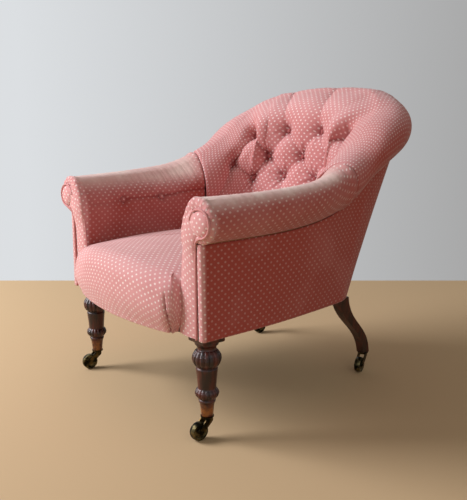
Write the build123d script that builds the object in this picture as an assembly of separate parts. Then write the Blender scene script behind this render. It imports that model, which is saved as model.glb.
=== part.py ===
from build123d import *
import os
from math import atan2, cos, degrees, pi, radians, sin, sqrt

# Low tub chair: a show-wood underframe on castors, a beech seat frame with
# webbing and coil springs, and a stuffed shell whose padding rolls over the
# arms and rises in one sweep to the back.
# Millimetres. +X is the sitter's left, the chair faces -Y and stands on Z = 0.

# ---------------------------------------------------------------- driving sizes
LEG_LINE_Y = -291.0        # the line across the front legs
FRONT_LEG_X = 254.0
COVER = 2.5                # outside covers, cloth on lining
GLUE_LINE = 0.3            # the gap left between neighbours that are shaped to fit
FRAME_SET = 2.5            # how far the frame stands in from the outside covers
SEAT_LEVEL = 345.0         # where the inner padding meets the seat
COVER_BOTTOM = 230.0
TUCK = 6.0                 # the outside cover ends this far below the roll

RAIL_BOTTOM = 234.0
RAIL_HEIGHT = 56.0
RAIL_THICK = 28.0
RAIL_TOP = RAIL_BOTTOM + RAIL_HEIGHT

# Stations along the shell, front of the arm to the middle of the back, for the
# sitter's left half. Each is: outside at the base (x, y), inner face at seat
# level (x, y), middle of the roll (x, y, z), the roll's two half sizes, the
# padding's thickness at its foot, how far the shoulder below the roll stands
# in from the roll's middle, and how far out the outside cover is tacked.
STATIONS = [
    (297, -320, 222, -320, 293, -320, 474, 46, 46, 36, 64, 5),
    (291, -131, 221, -131, 300, -131, 479, 51, 41, 36, 66, 3),
    (277,    0, 217,    0, 293,    0, 493, 53, 38, 36, 67, 8),
    (265,   84, 209,   72, 275,  100, 530, 52, 48, 38, 75, 15),
    (255,  122, 196,  104, 270,  172, 576, 53, 53, 44, 95, 18),
    (228,  160, 168,  128, 254,  246, 620, 57, 57, 52, 126, 19),
    (165,  189, 122,  141, 212,  295, 656, 58, 58, 58, 134, 19),
    ( 85,  202,  62,  145, 146,  322, 677, 59, 59, 60, 120, 19),
    (  0,  207,   0,  146,   0,  332, 688, 60, 60, 60, 114, 19),
]
LAST = len(STATIONS) - 1
SHOULDER_DROP = 57.0       # the shoulder lies this far below the roll's middle
FLARE = 50.0               # tilt of the roll's long axis, degrees above level
SEAM = 2.55                # station where the arm padding meets the back padding
SEAM_GAP = 0.003           # half the slit there, in stations
REAR_SEAM = 4.3            # station of the upright seam between the outside covers
COVER_GAP = 0.004          # half the slit there, in stations

# Frame
BOARD_THICK = 22.0         # arm rails and back hoop, sawn boards on edge
BOARD_ABOVE = 12.0         # above the middle of the roll
BOARD_BELOW = 7.0          # below the underside of the roll, where the covers are tacked
POST_THICK = 28.0
POST_WIDE = 32.0
SCROLL_MARGIN = 9.0        # padding between the scroll head and the roll's surface
STAY_WIDE = 30.0
STAY_THICK = 12.0
STAYS = (6.95, 8.0, 9.05)  # stations of the three back stays
UPRIGHT = 28.0
UPRIGHT_STATION = 4.75
TACK_RAIL_WIDE = 14.0
TACK_RAIL_HIGH = 30.0
TACK_RAIL_INSET = 22.0
FRONT_CORNER = (262.0, -318.0)
REAR_CORNER = (262.0, 190.0)

# Seat
SEAT_FRONT = 388.0         # middle of the front edge, ahead of the origin
SEAT_SIDE_FRONT = 346.0    # the same at the corners
SEAT_GAP = 2.0
DOME_RADIUS = 1000.0
DOME_Y = -110.0
SEAT_FRONT_ROUND = 42.0
APRON = 25.0               # stuffing over the front rail
HESSIAN = 2.0
CANVAS_SLOPE = 22.0
SPRING_TOP = 311.0
STUFFING = 72.0            # hair and wadding over the springs' canvas
CROWN = SPRING_TOP + HESSIAN + STUFFING
SPRING_X = 130.0
SPRING_Y = (-240.0, -105.0, 30.0)
SPRING_END_RADIUS = 40.0
SPRING_WAIST_RADIUS = 26.0
SPRING_WIRE = 4.0
SPRING_TURNS = 3
WEB_WIDE = 50.0
WEB_THICK = 2.0
WEB_X = (-130.0, -65.0, 0.0, 65.0, 130.0)
WEB_Y = (-240.0, -172.0, -105.0, -38.0, 30.0)
CLOTH = 1.0                # dust cover under the seat

# Buttons: one half of the back (x, y, z, turn towards the sitter, tilt up), then the arm
BUTTON_RADIUS = 7.0
BUTTON_HIGH = 5.0
ARM_BUTTON_TILT = 0.12
PIT_DEPTH = 30.0
PIT_MOUTH = 24.0
BACK_BUTTONS = [
    (65, 231, 631, 8, 0.25), (183, 213, 610, 22, 0.65),
    (0, 222, 562, 0, 0.2), (120, 205, 560, 28, 0.15), (208, 141, 533, 60, 0.35),
    (60, 209, 506, 8, 0.2), (155, 176, 497, 38, 0.15),
]
ARM_BUTTON_X = 243.0
ARM_BUTTON_Y = (-204.0, -85.0)
ARM_BUTTON_Z = 454.0

# Front legs, radii against height
LEG_BLOCK = 56.0
LEG_BLOCK_BOTTOM = 216.0
FOOT_HEIGHT = 50.0
BULB_RADIUS = 31.5
BULB_DROP = 37.0           # from the square down to the bulb's middle
BULB_HEIGHT = LEG_BLOCK_BOTTOM - BULB_DROP
BULB_HALF = 18.0
BULB_SAG = 9.5             # how much smaller the bulb is at its ends
RING_RADIUS = 26.0
RING_RISE = 52.0           # from the foot up to the ring's middle
RING_HEIGHT = FOOT_HEIGHT + RING_RISE
RING_HALF = 11.0
RING_SAG = 6.0
GADROONS = 16
GADROON_DEPTH = 2.6
FOOT_TIP = 12.5
FOOT_TOP = 16.5
COLUMN_TOP = 23.5

# Rear legs
REAR_TOP = (222.0, 143.0)
REAR_FOOT = (201.0, 265.0)
REAR_TOP_SIDE = 32.0
REAR_FOOT_SIDE = 23.0
REAR_BLOCK = 42.0
REAR_BLOCK_AT = (226.0, 137.0)
SABRE = -0.55

# Castors
WHEEL_RADIUS = 20.0
WHEEL_WIDE = 15.0
TRAIL = 22.0
AXLE_RADIUS = 2.5
PIN_RADIUS = 4.0
RUNNING = 0.06             # clearance of a shaft in its hole, on the radius
PLATE_RADIUS = 14.5
PLATE_THICK = 2.5
STEM_LONG = 28.0
CROWN_THICK = 3.0
CHEEK = 2.2
CHEEK_GAP = 0.5
SCREW_CIRCLE = 9.5
SCREW_RADIUS = 1.5
SCREW_HEAD = 2.8
SCREW_LONG = 14.0
CASTOR_AIM = {             # where each castor trails at rest, degrees about +Z from +X
    "front_left": -90.0,
    "front_right": -103.0,
    "rear_left": -70.0,
    "rear_right": -96.0,
}

# Arm fronts
FACING_FRONT = -329.0
FACING_THICK = 8.5
FACING_EDGE = 3.0          # the facing's outer edge, in from the outside cover
FACING_FOOT_X = 211.0
FACING_WAIST_X = 224.0
PIPING_RADIUS = 2.0
BOSS_WIDE = 58.0
BOSS_HIGH = 52.0
BOSS_SHIFT = 4.0
BOSS_THICK = 6.0


# ---------------------------------------------------------------- helpers
def along(t):
    """Values of every station column at t, smooth through the stations and mirrored past the middle."""
    last = LAST
    side = 1 if t <= last else -1
    t = t if t <= last else 2 * last - t
    i = min(int(t), last - 1)
    f = t - i

    def row(k):
        if k < 0:
            return [2 * a - b for a, b in zip(STATIONS[0], STATIONS[1])]
        if k > last:
            mirrored = list(STATIONS[2 * last - k])
            for x in (0, 2, 4):
                mirrored[x] = -mirrored[x]
            return mirrored
        return STATIONS[k]

    values = []
    for a, b, c, d in zip(row(i - 1), row(i), row(i + 1), row(i + 2)):
        m1, m2 = (c - a) / 2, (d - b) / 2
        values.append((2 * f**3 - 3 * f**2 + 1) * b + (f**3 - 2 * f**2 + f) * m1
                      + (-2 * f**3 + 3 * f**2) * c + (f**3 - f**2) * m2)
    for x in (0, 2, 4):
        values[x] *= side
    return values


class Section:
    """One cut through the shell, in the plane of the roll's outward direction and the padding's rake."""

    def __init__(self, t):
        (bx, by, fx, fy, x, y, z,
         self.wide, self.high, self.thick, self.shoulder, self.tack) = along(t)
        before, after = along(t - 0.05), along(t + 0.05)
        run = Vector(after[4] - before[4], after[5] - before[5]).normalized()
        self.out = Vector(run.Y, -run.X)
        self.base = Vector(bx, by, COVER_BOTTOM)
        self.middle = Vector(x, y, z)
        foot = Vector(fx, fy, SEAT_LEVEL) + self.out * (self.thick / 2)
        stem = self.middle - foot
        rise = stem - self.out * stem.dot(self.out)
        self.up = rise.normalized()
        self.foot = (-stem.dot(self.out), -rise.length)

    def point(self, u, w):
        return self.middle + self.out * u + self.up * w

    def roll(self, angle):
        """Local point on the roll's surface in a direction, degrees above outward."""
        a, b = self.wide, self.high
        lean = radians(angle - FLARE)
        r = a * b / sqrt((b * cos(lean)) ** 2 + (a * sin(lean)) ** 2)
        return r * cos(radians(angle)), r * sin(radians(angle))

    def underside(self, u):
        """Height of the roll's lower surface at a distance out from its middle."""
        low, high = -150.0, -10.0
        for _ in range(40):
            angle = (low + high) / 2
            if self.roll(angle)[0] < u:
                low = angle
            else:
                high = angle
        return self.roll(angle)[1]

    def cover_face(self, w):
        """How far out the back of the outside cover is at a height, which the frame keeps inside."""
        low_u, low_w = (self.base - self.middle).dot(self.out), (self.base - self.middle).dot(self.up)
        top = self.underside(self.tack)
        lean = (self.tack - low_u) / (top - low_w)
        return self.tack - COVER - FRAME_SET + lean * (w - top)

    def board_middle(self):
        """How far out the sawn board in the roll is centred at its lower edge."""
        return self.cover_face(self.underside(self.tack) - BOARD_BELOW) - BOARD_THICK / 2

    def board_low(self):
        return self.underside(self.board_middle()) - BOARD_BELOW


def through(points):
    """Smooth edge through points, with evenly numbered knots so that neighbouring edges match."""
    return Edge.make_spline(points, parameters=[float(k) for k in range(len(points))])


def wire_loft(wires):
    return Part(Compound([Solid.make_loft(wires)]).wrapped)


def corner_loft(rings, ruled=False):
    """Solid through closed straight-sided rings of points."""
    wires = [Wire.make_polygon(list(ring), close=True) for ring in rings]
    return Part(Compound([Solid.make_loft(wires, ruled)]).wrapped)


def steps(first, last, count):
    return [first + (last - first) * i / (count - 1) for i in range(count)]


def stops(first, last):
    """Where a loft along the shell takes its sections: closer towards the ends, or it would swing there."""
    spans = 6 + round(1.3 * (last - first))
    return [first + (last - first) * (1 - cos(pi * k / spans)) / 2 for k in range(spans + 1)]


def mirror_x(part):
    return mirror(part, about=Plane.YZ)


def block(x0, x1, y0, y1, z0, z1):
    return Pos((x0 + x1) / 2, (y0 + y1) / 2, (z0 + z1) / 2) * Box(x1 - x0, y1 - y0, z1 - z0)


# ---------------------------------------------------------------- shell padding
def padding_wire(t):
    """Outline of the padding: flat foot, stem, roll and the swell of the shoulder."""
    s = Section(t)
    fu, fw = s.foot
    half = s.thick / 2
    neck_u = s.board_middle() - BOARD_THICK / 2
    neck = (neck_u, s.underside(neck_u))
    stem = [
        (fu + half, fw),
        (fu + half + 0.5 * (neck[0] - fu - half), fw + 0.5 * (neck[1] - fw)),
        neck,
    ]
    start = degrees(atan2(neck[1], neck[0]))
    roll = [s.roll(a) for a in steps(start, 135, 8)]
    roll += [
        (-s.shoulder * 0.97, -SHOULDER_DROP * 0.35),
        (fu - half + 0.68 * (-s.shoulder - fu + half), fw + 0.58 * (-SHOULDER_DROP - fw)),
        (fu - half, fw),
    ]
    stem, roll = ([s.point(u, w) for u, w in side] for side in (stem, roll))
    return Wire([Edge.make_line(roll[-1], stem[0]), through(stem), through(roll)])


def padding(first, last):
    return wire_loft([padding_wire(t) for t in stops(first, last)])


def board(first, last, grow=0.0):
    """Length of the sawn board, on edge, that runs through the roll."""
    rings = []
    for t in stops(first, last):
        s = Section(t)
        ring = []
        for w, depth in ((s.board_low() - grow, BOARD_THICK + grow), (s.board_low() - grow, -grow),
                         (BOARD_ABOVE + grow, -grow), (BOARD_ABOVE + grow, BOARD_THICK + grow)):
            ring.append(s.point(s.cover_face(w) - depth, w))
        rings.append(ring)
    return corner_loft(rings)


def outside_cover(first, last, grow=0.0):
    """Outside cover, from its lower edge just clear of the legs to where it is tacked under the roll."""
    rings = []
    for t in stops(first, last):
        s = Section(t)
        top = s.point(s.tack + grow, s.underside(s.tack) - TUCK + grow)
        low = s.base + s.out * grow - Vector(0, 0, grow)
        cloth = s.out * (COVER + 2 * grow)
        rings.append([low, top, top - cloth, low - cloth])
    return corner_loft(rings)


# ---------------------------------------------------------------- seat frame
def base_line(inset):
    """The base outline of the whole shell, stepped in by a distance."""
    points = []
    for k in range(4 * LAST + 1):
        t = k / 2
        s = Section(t)
        before, after = along(max(t - 0.1, 0)), along(min(t + 0.1, 2 * LAST))
        run = Vector(after[0] - before[0], after[1] - before[1]).normalized()
        points.append(Vector(s.base.X, s.base.Y) - Vector(run.Y, -run.X) * inset)
    return points


def base_region(inset):
    """Plan of the shell inside a stepped-in outline, closed straight across the front."""
    points = base_line(inset)
    return Face(Wire([Edge.make_spline(points), Edge.make_line(points[-1], points[0])]))


def standing(face, z0, z1):
    return Part(extrude(Pos(0, 0, z0) * face, z1 - z0, dir=(0, 0, 1)).wrapped)


def seat_frame_solid(grow=0.0):
    """Room that the sawn side and rear rails take, as one band."""
    outer = base_region(COVER + FRAME_SET - grow)
    inner = base_region(COVER + FRAME_SET + RAIL_THICK + grow)
    z0, z1 = RAIL_BOTTOM - grow, RAIL_TOP + grow
    return standing(outer, z0, z1) - standing(inner, z0 - 1, z1 + 1)


def front_leg_block(grow=0.0):
    half = LEG_BLOCK / 2 + grow
    return block(FRONT_LEG_X - half, FRONT_LEG_X + half, LEG_LINE_Y - half, LEG_LINE_Y + half,
                 LEG_BLOCK_BOTTOM - grow, RAIL_TOP + grow)


def rear_leg_block(grow=0.0):
    x, y = REAR_BLOCK_AT
    half = REAR_BLOCK / 2 + grow
    room = block(x - half, x + half, y - half, y + half, RAIL_BOTTOM - grow, RAIL_TOP + grow)
    return room & standing(base_region(COVER + FRAME_SET - grow), RAIL_BOTTOM - 2, RAIL_TOP + 2)


def front_bow(depth, ends):
    """Plan arc across the front: its middle lies `depth` ahead of the origin, its ends at `ends`."""
    (x, y) = ends
    return ThreePointArc((-x, y), (0, -depth), (x, y))


def front_rail(grow=0.0):
    x = FRONT_LEG_X - LEG_BLOCK / 2 + grow
    y = LEG_LINE_Y - LEG_BLOCK / 2 - 1
    front = front_bow(SEAT_FRONT - APRON - GLUE_LINE + grow, (x, y - grow))
    rear = front_bow(SEAT_FRONT - APRON - GLUE_LINE - RAIL_THICK - grow, (x, y + RAIL_THICK + grow))
    sides = [Line(front @ 0, rear @ 0), Line(front @ 1, rear @ 1)]
    plan = make_face([front, rear] + sides)
    return standing(plan.face(), RAIL_BOTTOM - grow, RAIL_TOP + grow) - facings(GLUE_LINE)


def side_rail(grow=0.0):
    y0 = LEG_LINE_Y + LEG_BLOCK / 2 - grow
    y1 = REAR_BLOCK_AT[1] - REAR_BLOCK / 2 + grow
    rail = seat_frame_solid(grow) & block(100, 400, y0, y1, RAIL_BOTTOM - 9, RAIL_TOP + 9)
    return rail


def rear_rail(grow=0.0):
    x = REAR_BLOCK_AT[0] - REAR_BLOCK / 2 + grow
    return seat_frame_solid(grow) & block(-x, x, 100, 400, RAIL_BOTTOM - 9, RAIL_TOP + 9)


def corner_block(corner, along_x, along_y, neighbours):
    """Glue block across one inner corner of the seat frame, scribed round the leg."""
    x, y = corner
    plan = make_face(Polyline(corner, (x - along_x, y), (x, y + along_y), close=True))
    solid = standing(plan.face(), RAIL_BOTTOM + 8, RAIL_TOP - 8)
    solid &= standing(base_region(COVER + FRAME_SET + RAIL_THICK + GLUE_LINE), RAIL_BOTTOM, RAIL_TOP)
    for piece in neighbours:
        solid -= piece
    return solid


def corner_blocks():
    front = corner_block(FRONT_CORNER, 102, 115, (front_rail(GLUE_LINE), front_leg_block(GLUE_LINE)))
    rear = corner_block(REAR_CORNER, 142, -160, (rear_leg_block(GLUE_LINE), rear_rail(GLUE_LINE)))
    return [front, mirror_x(front), rear, mirror_x(rear)]


# ---------------------------------------------------------------- shell frame
def arm_post(grow=0.0):
    """Front stump of the arm: a board with a scroll head that carries the arm rail."""
    s = Section(0)
    y0 = s.middle.Y
    outer = s.base.X - COVER - FRAME_SET
    head = min(s.wide, s.high) - SCROLL_MARGIN + grow
    stump = block(outer - POST_WIDE - grow, outer + grow, y0 - grow, y0 + POST_THICK + grow,
                  RAIL_TOP - grow, s.middle.Z)
    disc = Pos(s.middle.X, y0 - grow, s.middle.Z) * Rot(-90, 0, 0) * Cylinder(
        head, POST_THICK + 2 * grow, align=(Align.CENTER, Align.CENTER, Align.MIN))
    return stump + disc


def arm_rail(grow=0.0):
    rail = board(0, SEAM - SEAM_GAP, grow) - arm_post(GLUE_LINE)
    return rail - arm_facing(GLUE_LINE)


def back_hoop(grow=0.0):
    return board(SEAM + SEAM_GAP, 2 * LAST - SEAM - SEAM_GAP, grow)


def raked_bar(t, wide, deep, inset, grow=0.0):
    """Straight bar from the seat frame up into the hoop at one station."""
    s = Section(t)
    low = s.base - s.out * inset
    low = Vector(low.X, low.Y, RAIL_TOP - grow)
    high = s.point(s.board_middle(), s.board_low() + BOARD_BELOW)
    across = Vector(-s.out.Y, s.out.X) * (wide / 2 + grow)
    through_it = s.out * (deep / 2 + grow)
    rings = [[p - across - through_it, p + across - through_it, p + across + through_it, p - across + through_it]
             for p in (low, high)]
    return corner_loft(rings, ruled=True)


def back_upright(grow=0.0):
    """Rear leg's upper length, raked from the seat frame to the hoop."""
    return raked_bar(UPRIGHT_STATION, UPRIGHT, UPRIGHT, COVER + FRAME_SET + UPRIGHT / 2, grow)


def back_stay(t, grow=0.0):
    """Upright lath between the rear rail and the hoop."""
    return raked_bar(t, STAY_WIDE, STAY_THICK, COVER + FRAME_SET + RAIL_THICK / 2, grow)


def tack_rail(grow=0.0):
    """Light rail that the foot of the inside arm is tacked to."""
    front, rear = Section(0), Section(SEAM)
    rings = []
    for s, y in ((front, front.middle.Y + POST_THICK), (rear, rear.base.Y)):
        x = s.base.X - COVER - FRAME_SET - TACK_RAIL_INSET
        u = TACK_RAIL_WIDE / 2 + grow
        z0, z1 = SEAT_LEVEL - TACK_RAIL_HIGH - grow, SEAT_LEVEL + grow
        rings.append([Vector(x - u, y, z0), Vector(x + u, y, z0), Vector(x + u, y, z1), Vector(x - u, y, z1)])
    return corner_loft(rings, ruled=True)


# ---------------------------------------------------------------- upholstery
def button_pit(place, facing):
    """Room pulled into the padding round one button."""
    plane = Plane(origin=Vector(*place), z_dir=Vector(*facing))
    return plane * Cone(BUTTON_RADIUS + 1.5, PIT_MOUTH, PIT_DEPTH, align=(Align.CENTER, Align.CENTER, Align.MIN))


def button(place, facing):
    """Covered button with a domed top, on its seat at the bottom of the pit."""
    plane = Plane(origin=Vector(*place) + Vector(*facing).normalized() * GLUE_LINE, z_dir=Vector(*facing))
    ball = (BUTTON_RADIUS**2 + BUTTON_HIGH**2) / (2 * BUTTON_HIGH) + 1
    disc = Cylinder(BUTTON_RADIUS, BUTTON_HIGH, align=(Align.CENTER, Align.CENTER, Align.MIN))
    return plane * (disc & Pos(0, 0, BUTTON_HIGH - ball) * Sphere(ball))


def back_button_places():
    places = []
    for x, y, z, turn, tilt in BACK_BUTTONS:
        for side in ((1, -1) if x else (1,)):
            places.append(((side * x, y, z), (-side * sin(radians(turn)), -cos(radians(turn)), tilt)))
    return places


def arm_button_places(side):
    return [((side * ARM_BUTTON_X, y, ARM_BUTTON_Z), (-side, 0, ARM_BUTTON_TILT)) for y in ARM_BUTTON_Y]


def inside_arm():
    pad = padding(0, SEAM - SEAM_GAP)
    room = (arm_post(GLUE_LINE), board(-0.02, SEAM + SEAM_GAP, GLUE_LINE),
            tack_rail(GLUE_LINE), arm_facing(GLUE_LINE), outside_cover(0, REAR_SEAM - COVER_GAP, GLUE_LINE))
    for piece in room:
        pad -= piece
    for place, facing in arm_button_places(1):
        pad -= button_pit(place, facing)
    return pad


def inside_back():
    pad = padding(SEAM + SEAM_GAP, 2 * LAST - SEAM - SEAM_GAP)
    pad -= board(SEAM - SEAM_GAP, 2 * LAST - SEAM + SEAM_GAP, GLUE_LINE)
    upright = back_upright(GLUE_LINE)
    for piece in [upright, mirror_x(upright)] + [back_stay(t, GLUE_LINE) for t in STAYS]:
        pad -= piece
    for place, facing in back_button_places():
        pad -= button_pit(place, facing)
    return pad


def facing_outline(inset):
    """Front of the arm: a tapering stem under a round scroll, stepped in all round."""
    s = Section(0)
    r = min(s.wide, s.high) - inset
    x, z = s.middle.X, s.middle.Z
    outer = s.base.X - FACING_EDGE - inset
    notch = sqrt(r * r - (outer - x) ** 2)
    inner = [(FACING_FOOT_X + inset, COVER_BOTTOM + inset), (FACING_WAIST_X + inset, SEAT_LEVEL + 40)]
    start = (x + r * cos(radians(168)), z + r * sin(radians(168)))
    edge = Spline(inner[0], inner[1], start, tangents=[(0.08, 1), (0.28, 1)])
    top = (x + r * cos(radians(45)), z + r * sin(radians(45)))
    scroll = ThreePointArc(start, top, (outer, z - notch))
    side = Line((outer, z - notch), (outer, COVER_BOTTOM + inset))
    foot = Line((outer, COVER_BOTTOM + inset), inner[0])
    return [edge, scroll, side, foot]


def facing_plane(y):
    return Plane(origin=(0, y, 0), x_dir=(1, 0, 0), z_dir=(0, -1, 0))


def arm_facing(grow=0.0):
    face = make_face(facing_outline(-grow))
    plane = facing_plane(FACING_FRONT + FACING_THICK + grow)
    return Part(extrude(plane * face, FACING_THICK + 2 * grow).wrapped)


def facings(grow):
    facing = arm_facing(grow)
    return [facing, mirror_x(facing)]


def scroll_boss():
    """Padded oval on the end of the scroll."""
    s = Section(0)
    oval = Pos(s.middle.X + BOSS_SHIFT, s.middle.Z) * Ellipse(BOSS_WIDE / 2, BOSS_HIGH / 2)
    solid = Part(extrude(facing_plane(FACING_FRONT - GLUE_LINE) * oval, BOSS_THICK).wrapped)
    return fillet(solid.edges().group_by(Axis.Y)[0], BOSS_THICK * 0.6)


def facing_piping():
    """Two piping cords up the outer edge of the facing, and one round the scroll."""
    y = FACING_FRONT - GLUE_LINE - PIPING_RADIUS
    inset = PIPING_RADIUS + 0.5
    _, scroll, side, _ = facing_outline(inset)
    x, top = (side @ 0).X, (side @ 0).Y
    high = top - COVER_BOTTOM - 2 * inset
    cords = [Pos(x - k * (2 * PIPING_RADIUS + GLUE_LINE), y, COVER_BOTTOM + 1)
             * Cylinder(PIPING_RADIUS, high, align=(Align.CENTER, Align.CENTER, Align.MIN)) for k in (0, 1)]
    route = facing_plane(y) * scroll
    start = Plane(origin=route @ 0, z_dir=route % 0)
    return cords + [sweep(start * Circle(PIPING_RADIUS), path=route)]


# ---------------------------------------------------------------- seat
def bowed_region(inset, front):
    """Plan of the seat frame: the stepped-in base outline, closed by a bowed front."""
    points = base_line(inset)
    bow = ThreePointArc(points[-1], (0, -front), points[0])
    return Face(Wire([Edge.make_spline(points), bow.edge()]))


def spring_field(z, low_z, spread):
    """Frustum over the springs: the foot of the canvas's slope to its flat top."""
    rings = []
    for step, height in ((CANVAS_SLOPE + spread, low_z), (spread, z)):
        x = SPRING_X + SPRING_END_RADIUS + step
        y0, y1 = SPRING_Y[0] - SPRING_END_RADIUS - step, SPRING_Y[-1] + SPRING_END_RADIUS + step
        corners = ((-x, y0), (x, y0), (x, y1), (-x, y1))
        rings.append([Vector(cx, cy, height) for cx, cy in corners])
    return corner_loft(rings, ruled=True)


def frame_above(grow):
    """Everything that stands on the rails, for cutting round."""
    pieces = [arm_post(grow), back_upright(grow)]
    return pieces + [mirror_x(p) for p in pieces] + [back_stay(t, grow) for t in STAYS]


def hessian():
    """Canvas tacked on the rails and lifted by the springs."""
    edge = RAIL_THICK * 0.6 + COVER
    border = standing(bowed_region(edge, SEAT_FRONT - APRON - RAIL_THICK * 0.4), RAIL_TOP, RAIL_TOP + HESSIAN)
    dome = spring_field(SPRING_TOP + HESSIAN, RAIL_TOP + HESSIAN, 3)
    hollow = spring_field(SPRING_TOP, RAIL_TOP, 3)
    sheet = border + dome - hollow
    for piece in frame_above(GLUE_LINE) + facings(GLUE_LINE):
        sheet -= piece
    return sheet


def seat_plan(gap):
    """Plan of the seat: it follows the foot of the inner padding and bows at the front."""
    points = []
    for k in range(4 * LAST + 1):
        t = k / 2
        values = along(t)
        before, after = along(max(t - 0.1, 0)), along(min(t + 0.1, 2 * LAST))
        run = Vector(after[2] - before[2], after[3] - before[3]).normalized()
        points.append(Vector(values[2], values[3]) - Vector(run.Y, -run.X) * gap)
    right, left = points[0], points[-1]
    front_right, front_left = Vector(right.X, -SEAT_SIDE_FRONT), Vector(left.X, -SEAT_SIDE_FRONT)
    bow = ThreePointArc(front_left, (0, -SEAT_FRONT), front_right)
    return Face(Wire([Edge.make_spline(points), Edge.make_line(left, front_left), bow.edge(),
                      Edge.make_line(front_right, right)]))


def seat_cushion():
    """Sprung seat: domed top, rounded front edge, and stuffing down over the front rail."""
    body = standing(seat_plan(SEAT_GAP), COVER_BOTTOM + 2, CROWN + 5)
    body &= Pos(0, DOME_Y, CROWN - DOME_RADIUS) * Sphere(DOME_RADIUS)
    top = body.faces().sort_by(Axis.Z)[-1]
    front = [e for e in top.edges() if (e @ 0.5).Y < -SEAT_SIDE_FRONT - 5]
    body = fillet(front, SEAT_FRONT_ROUND)
    under = standing(bowed_region(-60, SEAT_FRONT - APRON), COVER_BOTTOM - 5, RAIL_TOP + HESSIAN + GLUE_LINE)
    body -= under
    body -= spring_field(SPRING_TOP + HESSIAN + GLUE_LINE, RAIL_TOP + HESSIAN, 3 + GLUE_LINE)
    return body - facings(1.0)


def spring():
    """Hourglass seat spring standing on the webbing."""
    r = SPRING_WIRE / 2
    low, high = RAIL_BOTTOM + r, SPRING_TOP - r
    half = (high - low) / 2
    slope = degrees(atan2(SPRING_END_RADIUS - SPRING_WAIST_RADIUS, half))
    pitch = 2 * half / SPRING_TURNS
    coil = Helix(pitch, half, SPRING_WAIST_RADIUS, cone_angle=slope)
    upper = sweep(Plane(origin=coil @ 0, z_dir=coil % 0) * RegularPolygon(r, 4), path=coil)
    upper = Pos(0, 0, low + half) * upper
    lower = Pos(0, 0, 2 * (low + half)) * Rot(180, 0, 0) * upper
    return upper + lower


def springs():
    one = spring()
    return [Pos(x, y, 0) * one for x in (-SPRING_X, 0, SPRING_X) for y in SPRING_Y]


def webbing(lengthwise):
    """Strips of webbing tacked under the rails, one layer each way."""
    z = RAIL_BOTTOM - WEB_THICK if lengthwise else RAIL_BOTTOM - 2 * WEB_THICK
    plan = bowed_region(COVER + FRAME_SET + RAIL_THICK * 0.4, SEAT_FRONT - APRON - RAIL_THICK * 0.4)
    strips = []
    if lengthwise:
        for x in WEB_X:
            strips.append(block(x - WEB_WIDE / 2, x + WEB_WIDE / 2, -400, 400, z, z + WEB_THICK))
    else:
        for y in WEB_Y:
            strips.append(block(-400, 400, y - WEB_WIDE / 2, y + WEB_WIDE / 2, z, z + WEB_THICK))
    room = standing(plan, z, z + WEB_THICK)
    legs = []
    for leg in (front_leg_block(1.0), rear_leg_block(1.0), rear_leg_solid(1.0)):
        legs += [leg, mirror_x(leg)]
    cut = []
    for strip in strips:
        piece = strip & room
        for leg in legs:
            piece -= leg
        cut.append(piece)
    return cut


def bottom_cloth():
    z1 = RAIL_BOTTOM - 2 * WEB_THICK
    sheet = standing(bowed_region(4, SEAT_FRONT - 6), z1 - CLOTH, z1)
    for leg in (front_leg_block(1.0), rear_leg_solid(1.0)):
        sheet -= leg
        sheet -= mirror_x(leg)
    return sheet


# ---------------------------------------------------------------- legs
def front_leg_profile():
    """Half outline of the plain turning, from the castor up to the square."""
    neck = BULB_RADIUS - BULB_SAG
    waist = RING_RADIUS - RING_SAG
    low, high = RING_HEIGHT - RING_HALF, BULB_HEIGHT + BULB_HALF
    collar = ThreePointArc((FOOT_TOP, low - 9), (waist + 0.5, low - 6), (waist - 2, low - 1.5))
    cove = ThreePointArc((neck - 1, high), (neck - 3, high + 7), (neck + 2, LEG_BLOCK_BOTTOM - 6))
    return [
        Polyline((0, FOOT_HEIGHT), (FOOT_TIP, FOOT_HEIGHT), (FOOT_TOP, low - 9)),
        collar,
        Polyline((waist - 2, low - 1.5), (waist - 2, RING_HEIGHT), (waist - 0.5, RING_HEIGHT + RING_HALF),
                 (COLUMN_TOP, BULB_HEIGHT - BULB_HALF - 4), (neck - 1, BULB_HEIGHT - BULB_HALF), (neck - 1, high)),
        cove,
        Polyline((neck + 2, LEG_BLOCK_BOTTOM - 6), (neck + 3, LEG_BLOCK_BOTTOM - 5), (neck + 3, LEG_BLOCK_BOTTOM + 1),
                 (0, LEG_BLOCK_BOTTOM + 1), (0, FOOT_HEIGHT)),
    ]


def gadrooned(radius, height, half, sag):
    """Turned swelling carved into reeds: a ring of ridged sections, deepest at the middle."""
    arc = (half * half + sag * sag) / (2 * sag)
    rings = []
    for k in (-1, -0.7, -0.35, 0, 0.35, 0.7, 1):
        level = k * half
        r = radius - arc + sqrt(arc * arc - level * level)
        groove = r - GADROON_DEPTH * (1.1 - k * k)
        ring = []
        for reed in range(GADROONS):
            for place, reach in ((0, groove), (0.25, r - 0.2), (0.5, r + 0.3), (0.75, r - 0.2)):
                turn = 2 * pi * (reed + place) / GADROONS
                ring.append(Vector(reach * cos(turn), reach * sin(turn), height + level))
        rings.append(ring)
    return corner_loft(rings)


def front_leg():
    """Turned and gadrooned leg with its square top, bored for the castor."""
    leg = revolve(Plane.XZ * make_face(front_leg_profile()), Axis.Z, 360)
    leg += gadrooned(BULB_RADIUS, BULB_HEIGHT, BULB_HALF, BULB_SAG)
    leg += gadrooned(RING_RADIUS, RING_HEIGHT, RING_HALF, RING_SAG)
    leg = Pos(FRONT_LEG_X, LEG_LINE_Y, 0) * leg
    return leg + front_leg_block() - castor_room(FRONT_LEG_X, LEG_LINE_Y)


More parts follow.
